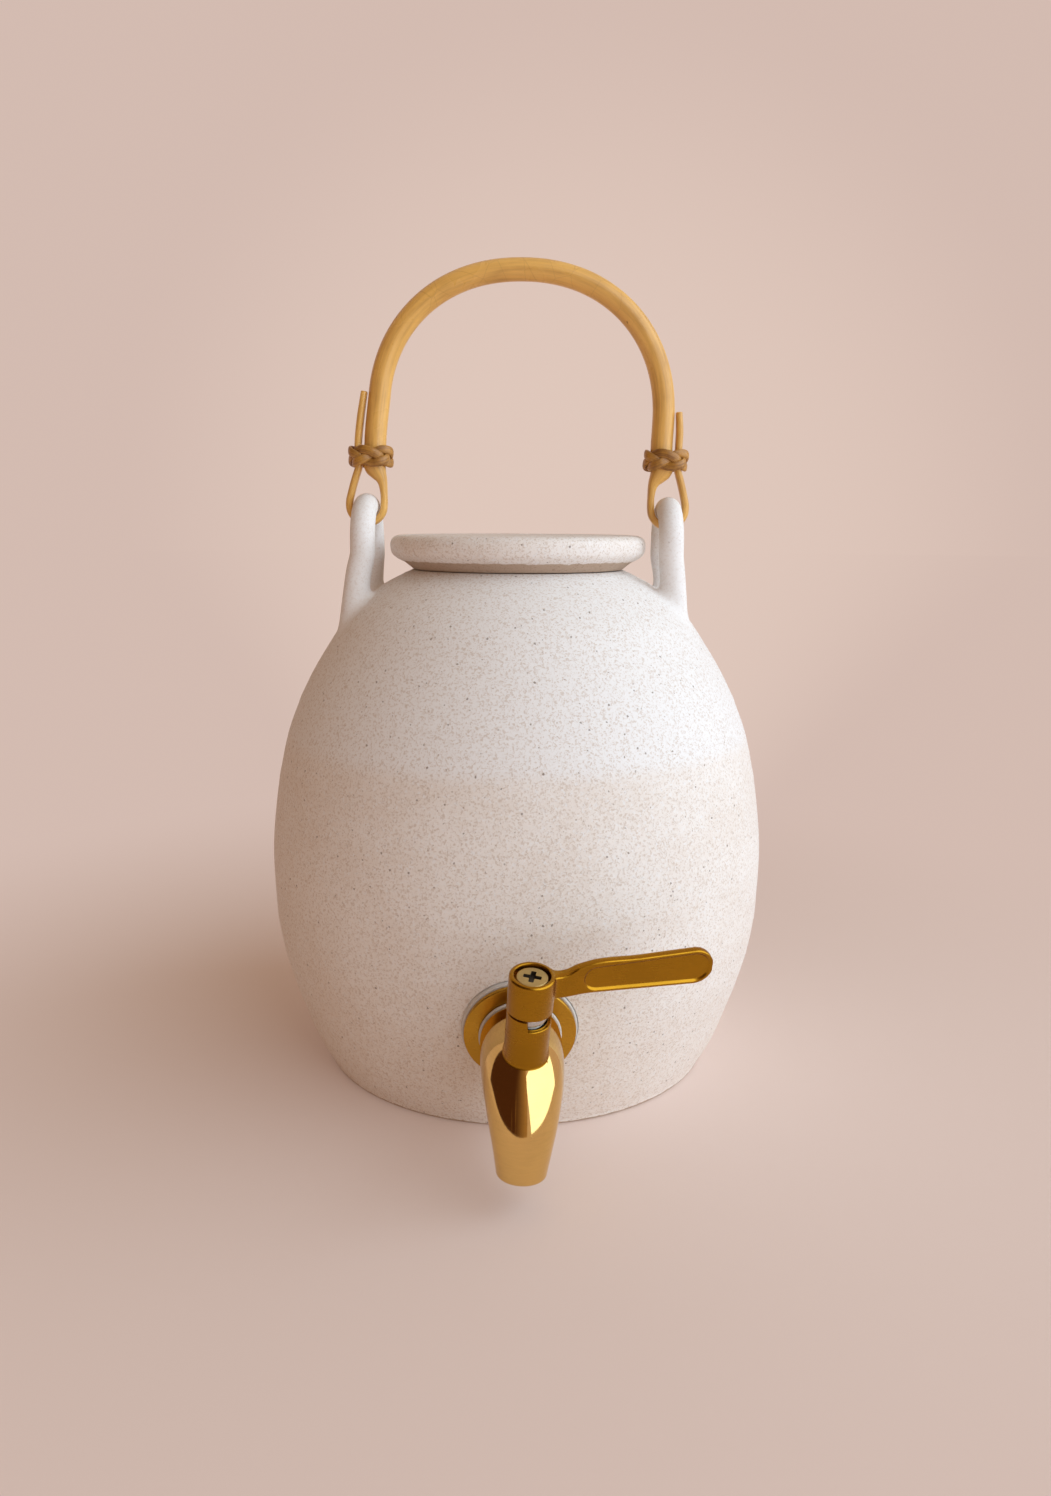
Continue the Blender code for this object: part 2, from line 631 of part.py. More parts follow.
def barrel_back():
    """Where the tap body's back face stands, outward from the seat on the wall."""
    return SEAL_THICKNESS + FLANGE_THICKNESS + BODY_SEAL_THICKNESS + 4 * GAP


def add_mounting(build, axis):
    """Seals, flange plate, backing washer and nut along the shank; local Z points outward."""
    bore = SHANK_RADIUS + GAP
    outer = GAP
    build.ring("outer_seal", bore, OUTER_SEAL_RADIUS, outer, outer + SEAL_THICKNESS, SILICONE, axis)
    outer += SEAL_THICKNESS + GAP
    build.ring("flange_plate", bore, FLANGE_RADIUS, outer, outer + FLANGE_THICKNESS, SATIN_GOLD, axis)
    outer += FLANGE_THICKNESS + GAP
    build.ring("body_seal", bore, BODY_SEAL_RADIUS, outer, outer + BODY_SEAL_THICKNESS, SILICONE, axis)
    inner = SEAT_DEPTH - JAR_WALL - GAP
    build.ring("inner_seal", bore, INNER_SEAL_RADIUS, inner - SEAL_THICKNESS, inner, SILICONE, axis)
    inner -= SEAL_THICKNESS + GAP
    build.ring("backing_washer", bore, BACKING_RADIUS, inner - BACKING_THICKNESS, inner, STEEL, axis)
    inner -= BACKING_THICKNESS + GAP
    corner = NUT_ACROSS_FLATS / 2 / cos(pi / 6)
    outline = [(corner * cos(pi / 3 * side), corner * sin(pi / 3 * side)) for side in range(6)]
    nut = build.prism("lock_nut", outline, inner - NUT_THICKNESS, inner, STEEL, axis)
    bore_cut = build.disc("nut_bore", bore, inner - NUT_THICKNESS - OVERRUN, inner + OVERRUN, parent=axis)
    combine(nut, bore_cut)


def spout_stations():
    """Centre, direction and half sizes of the tap body's sections, in the tap's frame (-Y outward)."""
    stations = []
    back = barrel_back()
    for reach, drop, turn, wide, deep in SPOUT_SHARES:
        centre = Vector((0, -back - SPOUT_REACH * reach, -SPOUT_DROP * drop))
        stations.append((centre, SPOUT_TURN * turn, BARREL_RADIUS * wide, BARREL_RADIUS * deep))
    end = Vector((0, -back - SPOUT_REACH, -SPOUT_DROP))
    onward = Vector((0, -cos(SPOUT_TURN), -sin(SPOUT_TURN)))
    for angle in (0, pi / 6, pi / 3, pi / 2):
        radius = SPOUT_END_RADIUS - SPOUT_LIP * (1 - cos(angle))
        stations.append((end + onward * SPOUT_LIP * sin(angle), SPOUT_TURN, radius, radius))
    return stations


def add_tap_body(build, frame, axis, stem):
    across = Vector((1, 0, 0))
    sections = []
    for centre, angle, wide, deep in spout_stations():
        upright = Vector((0, -sin(angle), cos(angle)))
        sections.append(oval(centre, across, upright, wide, deep, TAP_FACETS))
    body = build.sweep("tap_body", sections, POLISHED_GOLD, frame)
    back = barrel_back()
    shank = build.disc("shank", SHANK_RADIUS, back - SHANK_LENGTH, back + SHANK_RADIUS, parent=axis)
    collar = build.disc("collar", COLLAR_RADIUS, COLLAR_FOOT, COLLAR_TOP, parent=stem, facets=TAP_FACETS)
    combine(body, shank, "UNION")
    combine(body, collar, "UNION")
    notch = arc_outline(
        GLAND_RADIUS - GAP, COLLAR_RADIUS + OVERRUN, LEVER_CLOSED - LEVER_TRAVEL - tab_half_angle(),
        LEVER_CLOSED + tab_half_angle(),
    )
    combine(body, build.prism("notch", notch, COLLAR_TOP - NOTCH_DEPTH, COLLAR_TOP + OVERRUN, parent=stem))
    stem_reach = back + STEM_OFFSET
    inlet_end = back - SHANK_LENGTH - OVERRUN
    inlet = build.disc("inlet_bore", SHANK_BORE_RADIUS, inlet_end, stem_reach, parent=axis)
    combine(body, inlet)
    spindle_bore = SPINDLE_RADIUS + GAP
    gland_bore = GLAND_RADIUS + GAP
    pocket_top = COLLAR_TOP + OVERRUN
    pocket = (
        (0, pocket_top), (gland_bore, pocket_top), (gland_bore, SHOULDER_HEIGHT),
        (spindle_bore, SHOULDER_HEIGHT), (spindle_bore, -SPINDLE_FOOT - GAP), (0, -SPINDLE_FOOT - GAP),
    )
    combine(body, build.sweep("spout_bore", spout_bore_sections(), parent=frame))
    combine(body, build.turned("spindle_bore", pocket, parent=stem, facets=TAP_FACETS, closed=False))


def spout_bore_sections():
    """The waterway from the stem's axis to the open end of the spout."""
    stations = spout_stations()
    start = Vector((0, -barrel_back() - STEM_OFFSET, 0))
    bends = stations[:len(SPOUT_SHARES) + 1]
    route = [start, *[centre for centre, _, _, _ in bends if centre.y < start.y - PASSAGE_RADIUS]]
    onward = Vector((0, -cos(SPOUT_TURN), -sin(SPOUT_TURN)))
    route.append(route[-1] + onward * (SPOUT_LIP + OVERRUN))
    across = Vector((1, 0, 0))
    last = len(route) - 1
    sections = []
    for index, (centre, along) in enumerate(zip(route, tangents(route))):
        radius = PASSAGE_RADIUS + (OUTLET_RADIUS - PASSAGE_RADIUS) * index / last
        sections.append(oval(centre, across, along.cross(across), radius, radius, TAP_FACETS // 2))
    return sections


def tab_half_angle(clearance=GAP):
    """Half the angle that the stop tab takes in the notch, with its clearance."""
    return (TAB_WIDTH / 2 + clearance) / COLLAR_RADIUS


def arc_outline(inner, outer, start, end):
    """A ring sector from start to end, measured about the stem from over the spout towards +X."""
    steps = max(3, round((end - start) / radians(9)))
    angles = [start + (end - start) * step / steps for step in range(steps + 1)]
    outline = [(outer * sin(angle), -outer * cos(angle)) for angle in angles]
    outline += [(inner * sin(angle), -inner * cos(angle)) for angle in reversed(angles)]
    return outline


def add_valve(build, axis, stem, lever):
    """The turning spindle with its seals, and the fixed ring and seat that hold and feed it."""
    groove = SPINDLE_RADIUS - 2 * O_RING_SECTION - GAP
    half = GROOVE_WIDTH / 2
    drive_top = COLLAR_TOP + HUB_LIFT + DRIVE_LENGTH
    profile = [
        (0, drive_top), (STEM_RADIUS, drive_top), (STEM_RADIUS, SHOULDER_HEIGHT),
        (SPINDLE_RADIUS, SHOULDER_HEIGHT),
    ]
    for middle in (UPPER_GROOVE, LOWER_GROOVE):
        profile += [(SPINDLE_RADIUS, middle + half), (groove, middle + half), (groove, middle - half),
                    (SPINDLE_RADIUS, middle - half)]
    profile += [(SPINDLE_RADIUS, -SPINDLE_FOOT), (0, -SPINDLE_FOOT)]
    spindle = build.turned("valve_spindle", profile, STEEL, lever, TAP_FACETS, closed=False)
    port_end = SPINDLE_RADIUS + OVERRUN
    port = build.disc("spindle_port", SPINDLE_PORT_RADIUS, -port_end, port_end, parent=lever)
    port_turn = LEVER_TRAVEL - LEVER_CLOSED
    port.matrix_local = Matrix.Rotation(port_turn, 4, "Z") @ Matrix.Rotation(pi / 2, 4, "Y")
    combine(spindle, port)
    for name, side in (("near_flat", -1), ("far_flat", 1)):
        low, high = sorted((side * DRIVE_FLAT, side * SPINDLE_RADIUS))
        outline = [
            (-SPINDLE_RADIUS, low), (SPINDLE_RADIUS, low), (SPINDLE_RADIUS, high), (-SPINDLE_RADIUS, high),
        ]
        combine(spindle, build.prism(name, outline, hub_boss() - GAP, drive_top + OVERRUN, parent=lever))
    screw_hole = build.disc("screw_hole", SCREW_HOLE_RADIUS, drive_top - SCREW_LENGTH, drive_top + OVERRUN,
                            parent=lever, facets=TAP_FACETS // 2)
    combine(spindle, screw_hole)
    for name, middle in (("upper_o_ring", UPPER_GROOVE), ("lower_o_ring", LOWER_GROOVE)):
        centre = SPINDLE_RADIUS - O_RING_SECTION
        section = []
        for step in range(O_RING_FACETS):
            angle = -tau * step / O_RING_FACETS
            section.append((centre + O_RING_SECTION * cos(angle), middle + O_RING_SECTION * sin(angle)))
        build.turned(name, section, RUBBER, lever, TAP_FACETS)
    washer_foot = SHOULDER_HEIGHT + GAP
    washer_top = washer_foot + THRUST_THICKNESS
    stem_bore = STEM_RADIUS + GAP
    build.ring("thrust_washer", stem_bore, THRUST_RADIUS, washer_foot, washer_top, PLASTIC, lever, TAP_FACETS)
    gland_foot = washer_top + GAP
    gland_top = gland_foot + GLAND_HEIGHT
    build.ring("gland_ring", stem_bore, GLAND_RADIUS, gland_foot, gland_top, STEEL, stem, TAP_FACETS)
    seat_end = barrel_back() + STEM_OFFSET - SPINDLE_RADIUS - GAP
    seat_start = seat_end - INLET_SEAT_LENGTH
    seat_bore = INLET_SEAT_BORE
    build.ring("inlet_seat", seat_bore, INLET_SEAT_RADIUS, seat_start, seat_end, PLASTIC, axis, TAP_FACETS)


def hub_boss():
    """Height of the hub's underside, just above the thrust washer."""
    return SHOULDER_HEIGHT + GLAND_HEIGHT + THRUST_THICKNESS + 3 * GAP


def paddle_axis():
    """Start of the paddle's centreline, its direction and its far end, in the lever's side view."""
    hub_top = COLLAR_TOP + HUB_LIFT + HUB_HEIGHT
    start = Vector((PADDLE_START, hub_top + PADDLE_RISE - PADDLE_ROOT_HEIGHT / 2))
    along = Vector((cos(PADDLE_RAKE), sin(PADDLE_RAKE)))
    run = (LEVER_LENGTH - PADDLE_HEIGHT / 2 - PADDLE_START) / cos(PADDLE_RAKE)
    return start, along, start + along * run


def paddle_outline():
    """Side view of the neck and paddle: (along the lever, height above the tap's axis)."""
    start, along, end = paddle_axis()
    across = Vector((-along.y, along.x))
    hub_top = COLLAR_TOP + HUB_LIFT + HUB_HEIGHT
    neck_foot = hub_top - NECK_HEIGHT
    neck_start = (HUB_RECESS_RADIUS + HUB_RADIUS) / 2
    low = start - across * PADDLE_ROOT_HEIGHT / 2
    high = start + across * PADDLE_ROOT_HEIGHT / 2
    outline = [(neck_start, neck_foot), (NECK_WAIST, neck_foot), tuple(low)]
    for step in range(ROUND_STEPS + 1):
        angle = -pi / 2 + pi * step / ROUND_STEPS
        outline.append(tuple(end + (along * cos(angle) + across * sin(angle)) * PADDLE_HEIGHT / 2))
    crank = high.x - NECK_WAIST
    lift = high.y - hub_top
    for back_share, drop_share in CRANK_SHARES:
        outline.append((high.x - crank * back_share, high.y - lift * drop_share))
    outline += [(NECK_WAIST, hub_top - GAP), (neck_start, hub_top - GAP)]
    return outline


def panel_outline():
    """The recessed panel on the paddle's front face, a stadium inside the paddle's margin."""
    start, along, end = paddle_axis()
    across = Vector((-along.y, along.x))
    near_radius = PADDLE_ROOT_HEIGHT / 2 - PANEL_MARGIN
    far_radius = PADDLE_HEIGHT / 2 - PANEL_MARGIN
    near = start + along * (near_radius + PANEL_MARGIN)
    outline = []
    for centre, radius, turn in ((end, far_radius, -pi / 2), (near, near_radius, pi / 2)):
        for step in range(ROUND_STEPS + 1):
            angle = turn + pi * step / ROUND_STEPS
            outline.append(tuple(centre + (along * cos(angle) + across * sin(angle)) * radius))
    return outline


def drive_outline(clearance=0.0):
    """The double-D that turns the spindle, with its flats along the lever."""
    radius = STEM_RADIUS + clearance
    flat = DRIVE_FLAT + clearance
    corner = asin(flat / radius)
    angles = [-corner + 2 * corner * step / 8 for step in range(9)]
    right = [(radius * cos(angle), radius * sin(angle)) for angle in angles]
    left = [(-x, -y) for x, y in right]
    return right + left


def add_lever(build, frame):
    """The lever in its own frame, along +X, with the screw that clamps it to the spindle."""
    foot = COLLAR_TOP + HUB_LIFT
    top = foot + HUB_HEIGHT
    recess = top - HUB_RECESS_DEPTH
    boss = hub_boss()
    profile = (
        (0, recess), (HUB_RECESS_RADIUS, recess), (HUB_RECESS_RADIUS, top), (HUB_RADIUS - GAP, top),
        (HUB_RADIUS, top - GAP), (HUB_RADIUS, foot), (GLAND_RADIUS, foot), (GLAND_RADIUS, boss), (0, boss),
    )
    lever = build.turned("lever", profile, SATIN_GOLD, frame, TAP_FACETS, closed=False)
    upright = Matrix.Rotation(pi / 2, 3, "X")
    half = PADDLE_THICKNESS / 2
    combine(lever, build.prism("paddle", paddle_outline(), -half, half, parent=frame, turn=upright), "UNION")
    panel_floor = half - PANEL_DEPTH
    panel = build.prism("panel", panel_outline(), panel_floor, half + OVERRUN, parent=frame, turn=upright)
    combine(lever, panel)
    turn = tab_half_angle(0)
    tab = arc_outline(GLAND_RADIUS + GAP, COLLAR_RADIUS, pi / 2 - turn, pi / 2 + turn)
    tab_foot = COLLAR_TOP - NOTCH_DEPTH + GAP
    combine(lever, build.prism("stop_tab", tab, tab_foot, foot + GAP, parent=frame), "UNION")
    drive = build.prism("drive_hole", drive_outline(GAP), boss - OVERRUN, recess + OVERRUN, parent=frame)
    combine(lever, drive)
    add_screw(build, frame, recess)


def add_screw(build, frame, recess):
    washer_foot = recess + GAP
    washer_top = washer_foot + SPRING_WASHER_THICKNESS
    slit = SPRING_WASHER_SLIT / 2
    split_ring = arc_outline(SPRING_WASHER_BORE, SPRING_WASHER_RADIUS, slit, tau - slit)
    build.prism("spring_washer", split_ring, washer_foot, washer_top, STEEL, frame)
    head_foot = washer_top + GAP
    head_top = head_foot + SCREW_HEAD_HEIGHT
    screw_end = head_foot - SCREW_LENGTH
    profile = (
        (0, head_top), (SCREW_HEAD_RADIUS, head_top), (SCREW_HEAD_RADIUS, head_foot),
        (SCREW_RADIUS, head_foot), (SCREW_RADIUS, screw_end), (0, screw_end),
    )
    screw = build.turned("lever_screw", profile, SCREW_BRASS, frame, TAP_FACETS, closed=False)
    long = CROSS_LENGTH / 2
    wide = CROSS_WIDTH / 2
    cross = [(long, -wide), (long, wide), (wide, wide), (wide, long), (-wide, long), (-wide, wide),
             (-long, wide), (-long, -wide), (-wide, -wide), (-wide, -long), (wide, -long), (wide, -wide)]
    slot = build.prism("cross_slot", cross, head_top - CROSS_DEPTH, head_top + OVERRUN, parent=frame,
                       turn=Matrix.Rotation(CROSS_TURN, 3, "Z"))
    combine(screw, slot)


def main():
    clear_scene()
    build = Builder()
    seat, tilt = tap_seat()
    bearing = Matrix.Rotation(TAP_BEARING, 3, "Z")
    aim = bearing @ Matrix.Rotation(TAP_SKEW, 3, "Z") @ Matrix.Rotation(tilt, 3, "X")
    tap = build.frame("tap_frame", bearing @ seat, aim @ Matrix.Rotation(TAP_LEAN, 3, "Y"))
    axis = build.frame("tap_axis", turn=Matrix.Rotation(pi / 2, 3, "X"), parent=tap)
    stem = build.frame("stem_axis", (0, -barrel_back() - STEM_OFFSET, 0), parent=tap)
    lever = build.frame("lever_frame", turn=Matrix.Rotation(LEVER_CLOSED - pi / 2, 3, "Z"), parent=stem)
    swing = build.frame("handle_swing", (0, 0, ARCH_CENTRE_HEIGHT))
    add_jar(build, axis)
    add_lugs(build)
    add_lid(build)
    add_handle(build, swing)
    add_bindings(build, swing)
    add_mounting(build, axis)
    add_tap_body(build, tap, axis, stem)
    add_valve(build, axis, stem, lever)
    add_lever(build, lever)
    bpy.context.view_layer.update()


if __name__ == "__main__":
    main()
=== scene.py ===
"""The finished look of a stoneware water pot with a tap, a loose lid and a cane bail handle.

Metres, +Z up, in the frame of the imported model: the base stands on Z = 0 and the tap faces -Y.
"""

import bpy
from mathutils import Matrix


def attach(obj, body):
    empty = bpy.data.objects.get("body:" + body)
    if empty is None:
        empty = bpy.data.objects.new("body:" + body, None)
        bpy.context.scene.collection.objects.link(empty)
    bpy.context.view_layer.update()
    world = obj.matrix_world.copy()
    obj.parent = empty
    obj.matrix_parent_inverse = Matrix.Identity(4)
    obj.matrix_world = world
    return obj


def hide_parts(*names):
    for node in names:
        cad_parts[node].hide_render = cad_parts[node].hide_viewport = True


bl_info = {
    "name": "Stoneware Water Pot",
    "version": (1, 0, 0),
    "blender": (4, 5, 0),
    "location": "3D View > Sidebar > Water Pot",
    "description": "Dresses the packed water pot: glazed jar, cane handle, knots, gold tap and lever",
    "category": "Object",
}

from math import atan2, cos, exp, hypot, pi, radians, sin, sqrt, tan, tau

import bmesh
import bpy
from bpy.props import FloatProperty, FloatVectorProperty, IntProperty, PointerProperty
from mathutils import Matrix, Vector
from mathutils.bvhtree import BVHTree

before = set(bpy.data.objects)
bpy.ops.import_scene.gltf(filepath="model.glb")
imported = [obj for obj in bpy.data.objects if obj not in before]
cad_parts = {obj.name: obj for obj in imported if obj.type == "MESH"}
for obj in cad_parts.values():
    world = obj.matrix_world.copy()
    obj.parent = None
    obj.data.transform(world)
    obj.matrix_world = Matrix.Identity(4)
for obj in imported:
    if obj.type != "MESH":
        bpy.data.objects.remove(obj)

# Fits between pieces, and how meshes are made
TOUCH = 0.0003                   # room between pieces that touch
SHARP = radians(38)              # edges sharper than this are shaded as edges
MERGE = 0.00001
FLOW_STEPS = 6                   # along each span of most smooth lines
FILLET_STEPS = 8
LEAST_SHAFT = 0.1                # share of a leg that is left straight above its fillet

# Jar
FOOT_INSET = 0.0002
FOOT_ROUNDING = 0.0014
BARE_FOOT_AND_CONTACT_SHADE = 0.0010               # height below which the clay is unglazed; the darker bare band also paints the shade where the foot meets the floor

WALL_STEPS = 9
# Outer wall of the jar from the base to the rim as (radius, height)
JAR_WALL_POINTS = (
    (0.0798, 0.0015), (0.08439, 0.00995), (0.09026, 0.02586), (0.09527, 0.04177), (0.0985, 0.05768),
    (0.09955, 0.07359), (0.09966, 0.08951), (0.0981, 0.10542), (0.0955, 0.12133), (0.0916, 0.1370),
    (0.0871, 0.1482), (0.0850, 0.1529), (0.0757, 0.1690), (0.0660, 0.1825), (0.0540, 0.1925),
    (0.0450, 0.1973),
)
JAR_THICKNESS = 0.0065
FLOOR_THICKNESS = 0.008
FLOOR_FILLET = 0.0085
FLOOR_FILLET_ROOM = 0.009
FLOOR_INSET = 0.001
RIM_RADIUS = 0.0420
RIM_ROUNDING = 0.0012
MOUTH_ROUNDING = 0.0014
MOUTH_DEPTH = 0.0022             # straight part of the mouth below its rounded rim
MOUTH_MARGIN = 0.003             # least width of the shoulder's underside round the mouth
# Rings left by the thrower's fingers as (height, depth)
THROWING_RINGS = (
    (0.0312, 0.00010), (0.0463, 0.00014), (0.0618, 0.00010), (0.1180, 0.00012), (0.1485, 0.00022),
)
RING_SPREAD = 0.0022
# The whiter band of thick glaze round the shoulder, and where it thins out again
BAND_START = (0.1300, 0.1375)
BAND_END = (0.149, 0.168)
BAND_WANDER = 0.006
BARE_WANDER = 0.0016             # how far the edge of the bare clay strays
BARE_EDGE = 0.0002

# Lid
LID_GLAZE_LINE = 0.0034          # bare clay below this height over the rim
# From its top to its foot, as shares of the radius and of the height
LID_SHARES = (
    (0.60, 1.00), (0.82, 0.995), (0.91, 0.985), (0.957, 0.955), (0.985, 0.88), (1.0, 0.76), (1.0, 0.60),
    (0.988, 0.45), (0.955, 0.33), (0.893, 0.21),
)
LID_CROWN = ((0.0, 1.006), (0.012, 1.005))   # (radius, share of the height) of its slightly domed middle
LID_FOOT_ROUNDING = 0.0010
RING_GAP = 0.0015                # between the lid's locating ring and the mouth
RING_WIDTH = 0.005
RING_DEPTH = 0.007
RING_TOP_ROUNDING = 0.0006
RING_FOOT_ROUNDING = 0.0014
LID_HOLLOW = 0.004               # up into the lid inside its ring
LID_HOLLOW_ROUNDING = 0.003

# Lugs: an arch over each side of the shoulder
ARCH_RISE = 0.0094
ARCH_RADIUS = 0.015
LUG_BAR_RADIUS = 0.0048
LUG_ROOT_RADIUS = 0.0062
LUG_ROOT_SPREAD = 0.0180
LUG_ROOT_HEIGHT = 0.165
ARCH_STEPS = 6
LEG_SHARES = (0.10, 0.20, 0.32, 0.5, 0.75, 1.0)
# Side, plane of the arch, lift, then offset of the root and power of the lean, front leg and rear leg
LUGS = (
    ("left_lug", -1, 0.0600, 0.0004, ((0.0650, 0.62), (0.0635, 0.90))),
    ("right_lug", 1, 0.0594, -0.0005, ((0.0616, 0.65), (0.0640, 0.68))),
)
LUG_BLEND = 0.0055               # up the leg and out over the shoulder
LUG_SIDES = 48
LUG_STEPS = 44                   # down each leg
LUG_SHARP = radians(80)
LUG_SPECKLE = 0.4                # share of the jar's speckle

# Handle
BAIL_RADIUS = 0.0556
BAIL_RISE = 0.0537
BAIL_SHIFT = 0.0011
BAIL_FULLNESS = 2.15
LEG_OFFSET = 0.0562
KNOT_RISE = 0.0187               # lug's bar up to the knot
BAIL_LIFT = 0.0163               # knot up to where the cane starts to bend in
TONGUE_STANDOFF = 0.0067
LOOP_CLEARANCE = 0.00065
TONGUE_THICKNESS = 0.0023
TONGUE_WIDTH = 0.0054
TONGUE_ROUNDING = 0.0005         # added to the thickness, as rounded strips look slimmer
TONGUE_RISES = {-1: 0.0248, 1: 0.0165}
TONGUE_END_SHARE = 0.9           # width of the tongue's cut end
LEAST_END_SHARE = 0.02
CANE_FULLNESS = 2.0              # a round section
TONGUE_FULLNESS = 2.8            # a flat one with rounded edges
BAIL_STEPS = 16
LOOP_STEPS = 12
CANE_SIDES = 32
CANE_STEPS = 5
CAP_SHARE = 0.86
CAP_RISE = 0.0003
SCRATCH_START = (0.285, 0.300)   # heights between which the bail's scratches begin
SHAVED_SHARES = ((0.15, 0.36), (0.30, 0.72), (0.65, 1.0))
OUTER_TONGUE_SHARES = ((0.6, 0.7), (0.2, 0.25), (0, 0))

# Plaited knots
KNOT_WIDTH = 0.0084
KNOT_LEADS = 3
KNOT_BIGHTS = 5
STRAND_LIFT = 0.00082
STRAND_END_SHARE = 0.012
STRAND_BED = 0.0004
STRAND_STEPS = 110               # in each lead
STRAND_SIDES = 16
STRAND_FULLNESS = 2.3

# Tap stack along its axis, outward from the flat seat
TAP_PLACE = Vector((0.001794, -0.093411, 0.045858))
TAP_BEARING = radians(3.3)
TAP_TILT = radians(13.45)
TAP_LEAN = radians(3)
SEAT_RADIUS = 0.0204
SEAT_CUT = 0.02
INNER_SEAT_RADIUS = 0.0156
INNER_SEAT_SPAN = (-0.0141, -0.0041)
HOLE_REACH = 0.02                # each way from the seat
SEAT_SIDES = 96
HOLE_SIDES = 64
SEAL_THICKNESS = 0.002
FLANGE_THICKNESS = 0.0018
BODY_SEAL_THICKNESS = 0.001
SHANK_RADIUS = 0.0079
SHANK_LENGTH = 0.030
THREAD_PITCH = 0.0015
THREAD_DEPTH = 0.0005
THREAD_START = 0.0006
THREAD_RUNOUT = 0.006
THREAD_SHARES = ((0.0, THREAD_DEPTH), (0.38, 0.0), (0.62, 0.0))   # (share of the pitch, depth)
INLET_REACH = 0.012
INLET_RADIUS = 0.0045
INLET_CHAMFER = 0.0003
INLET_EDGE = (0.0049, 0.0068)
BARREL_BACK = 0.006
BARREL_EDGE = ((0.0110, 0.0), (0.0132, 0.0), (0.0136, 0.0001), (0.01378, 0.0003))   # (radius, reach)
SPOUT_REACH = 0.0380
SPOUT_DROP = 0.0222
SPOUT_TURN = radians(72)
SPOUT_LIP = 0.0018
OUTLET_RADIUS = 0.0061
OUTLET_DEEP_RADIUS = 0.0052
OUTLET_EDGE = 0.0001
OUTLET_EDGE_DEPTH = 0.0003
SPOUT_STEPS = 8                  # along each span of the spout, and round its lip
BODY_SIDES = 72
# Along the spout: share of the reach, of the drop, of the turn, of the barrel radius across and in depth
SPOUT_SHARES = (
    (0.00, 0.00, 0.00, 1.00, 1.00), (0.10, 0.00, 0.00, 1.01, 1.01), (0.30, 0.00, 0.02, 1.01, 1.02),
    (0.46, 0.02, 0.12, 0.99, 1.02), (0.60, 0.10, 0.28, 0.95, 0.95), (0.73, 0.25, 0.47, 0.88, 0.85),
    (0.84, 0.445, 0.65, 0.80, 0.77), (0.93, 0.69, 0.83, 0.70, 0.69), (1.00, 1.00, 1.00, 0.601, 0.601),
)
STEM_OFFSET = 0.0205
COLLAR_TOP = 0.0277
COLLAR_BORE = 0.0061
COLLAR_BORE_FOOT = 0.0100
COLLAR_INNER_ROUNDING = 0.00025
COLLAR_OUTER_ROUNDING = 0.0004
COLLAR_SKIRT = 0.0030            # from the rim down to where the lines to the barrel start
SKIRT_STRIDE = 0.0016
SKIRT_REACH = 16                 # strides, to well inside the barrel
SKIRT_STEPS = 10
COLLAR_BLEND = 0.0009
COLLAR_SIDES = 144
NOTCH_DEPTH = 0.0036
NOTCH_START = radians(-5.5)
NOTCH_END = radians(111.5)
NOTCH_EDGE = 1.2                 # steps round the collar
GLAND_FOOT = 0.0250
GLAND_HEIGHT = 0.0022
GLAND_RADII = (0.0039, 0.0058)
GLAND_EDGE = 0.0005
GLAND_SIDES = 72
BORE_EDGE = 0.0002
BACK_EDGE_SHARE = 0.4            # a washer's back edge is rounded less than its front one
WASHER_SIDES = 128
BRUSHED = (90.0, 0.00002)        # scale of the handling marks and depth of the grain
TAP_SHARP = radians(50)

# Lever
HUB_FOOT = 0.0283
HUB_HEIGHT = 0.0127
HUB_RECESS_RADIUS = 0.00585
HUB_RECESS_DEPTH = 0.0037
HUB_RIM = 0.0009
PADDLE_ROOT_HEIGHT = 0.0108
PADDLE_START = 0.0172
NECK_WAIST = 0.0098
NECK_HEIGHT = 0.0083
NECK_THICKNESS = 0.0043
NECK_FILLET = 0.0020
PADDLE_RISE = 0.0031
PADDLE_RAKE = radians(3.7)
CRANK_SHARES = ((0.35, 0.30), (0.75, 0.85))
ARM_START = 0.0066
ARM_FLAT_END = 0.006
ARM_SLOPE = (0.00005, 0.00002)   # how far its edges have turned at the waist, above and below
EDGE_STEPS = 12
ARM_STEPS = 210
TIP_STEPS = 30
ARM_EDGE = 0.0007                # rounding of its long edges
LEAST_BOW = 0.0004
LEAST_TIP_SHARE = 0.05
EDGE_SHARES = (0.7, 0.3)         # most that an edge takes of the half thickness and of the height
FRONT_STEPS = 64
BACK_STEPS = 14
CORNER_STEPS = 5
NECK_TAPER = (-0.002, 0.001)     # from the waist to the paddle's start
HUB_BORE = 0.0031
HUB_CAVITY = 0.0060
HUB_CAVITY_TOP = 0.0275
HUB_EDGES = (0.0002, 0.0003, 0.00035)
HUB_SIDES = 128
LEVER_SHARP = radians(55)
TAB_HALF_ANGLE = radians(11)
TAB_OUTER_SHARE = 0.972          # of the hub's radius
TAB_INNER_RADIUS = 0.0061
TAB_STEPS = 8
TAB_BED = 0.001                  # up into the hub
PANEL_MARGIN = 0.0013
PANEL_DEPTH = 0.0007
PANEL_SOFTNESS = 0.00055
PANEL_START = 0.0036               # along the paddle to the middle of the panel's near end
LEVER_TURN = radians(8)          # the closed lever's bearing past square to the spout
SCREW_HEAD_FOOT = 0.0384
SCREW_HEAD_HEIGHT = 0.0018
SCREW_RADIUS = 0.0016
SCREW_LENGTH = 0.0085
CROSS_LENGTH = 0.0058
CROSS_WIDTH = 0.0017
CROSS_DEPTH = 0.0015
CROSS_TURN = radians(-22)
CROSS_ROUNDING = 0.00028
CROSS_REACH = 0.55               # of its length, taken as the area of the cross's painted shade and tarnish
HEAD_EDGES = (0.00045, 0.0003, 0.0002, 0.0004)
HEAD_SKIN = 0.0001
HEAD_CLEARANCE = 0.001
SCREW_SIDES = 96
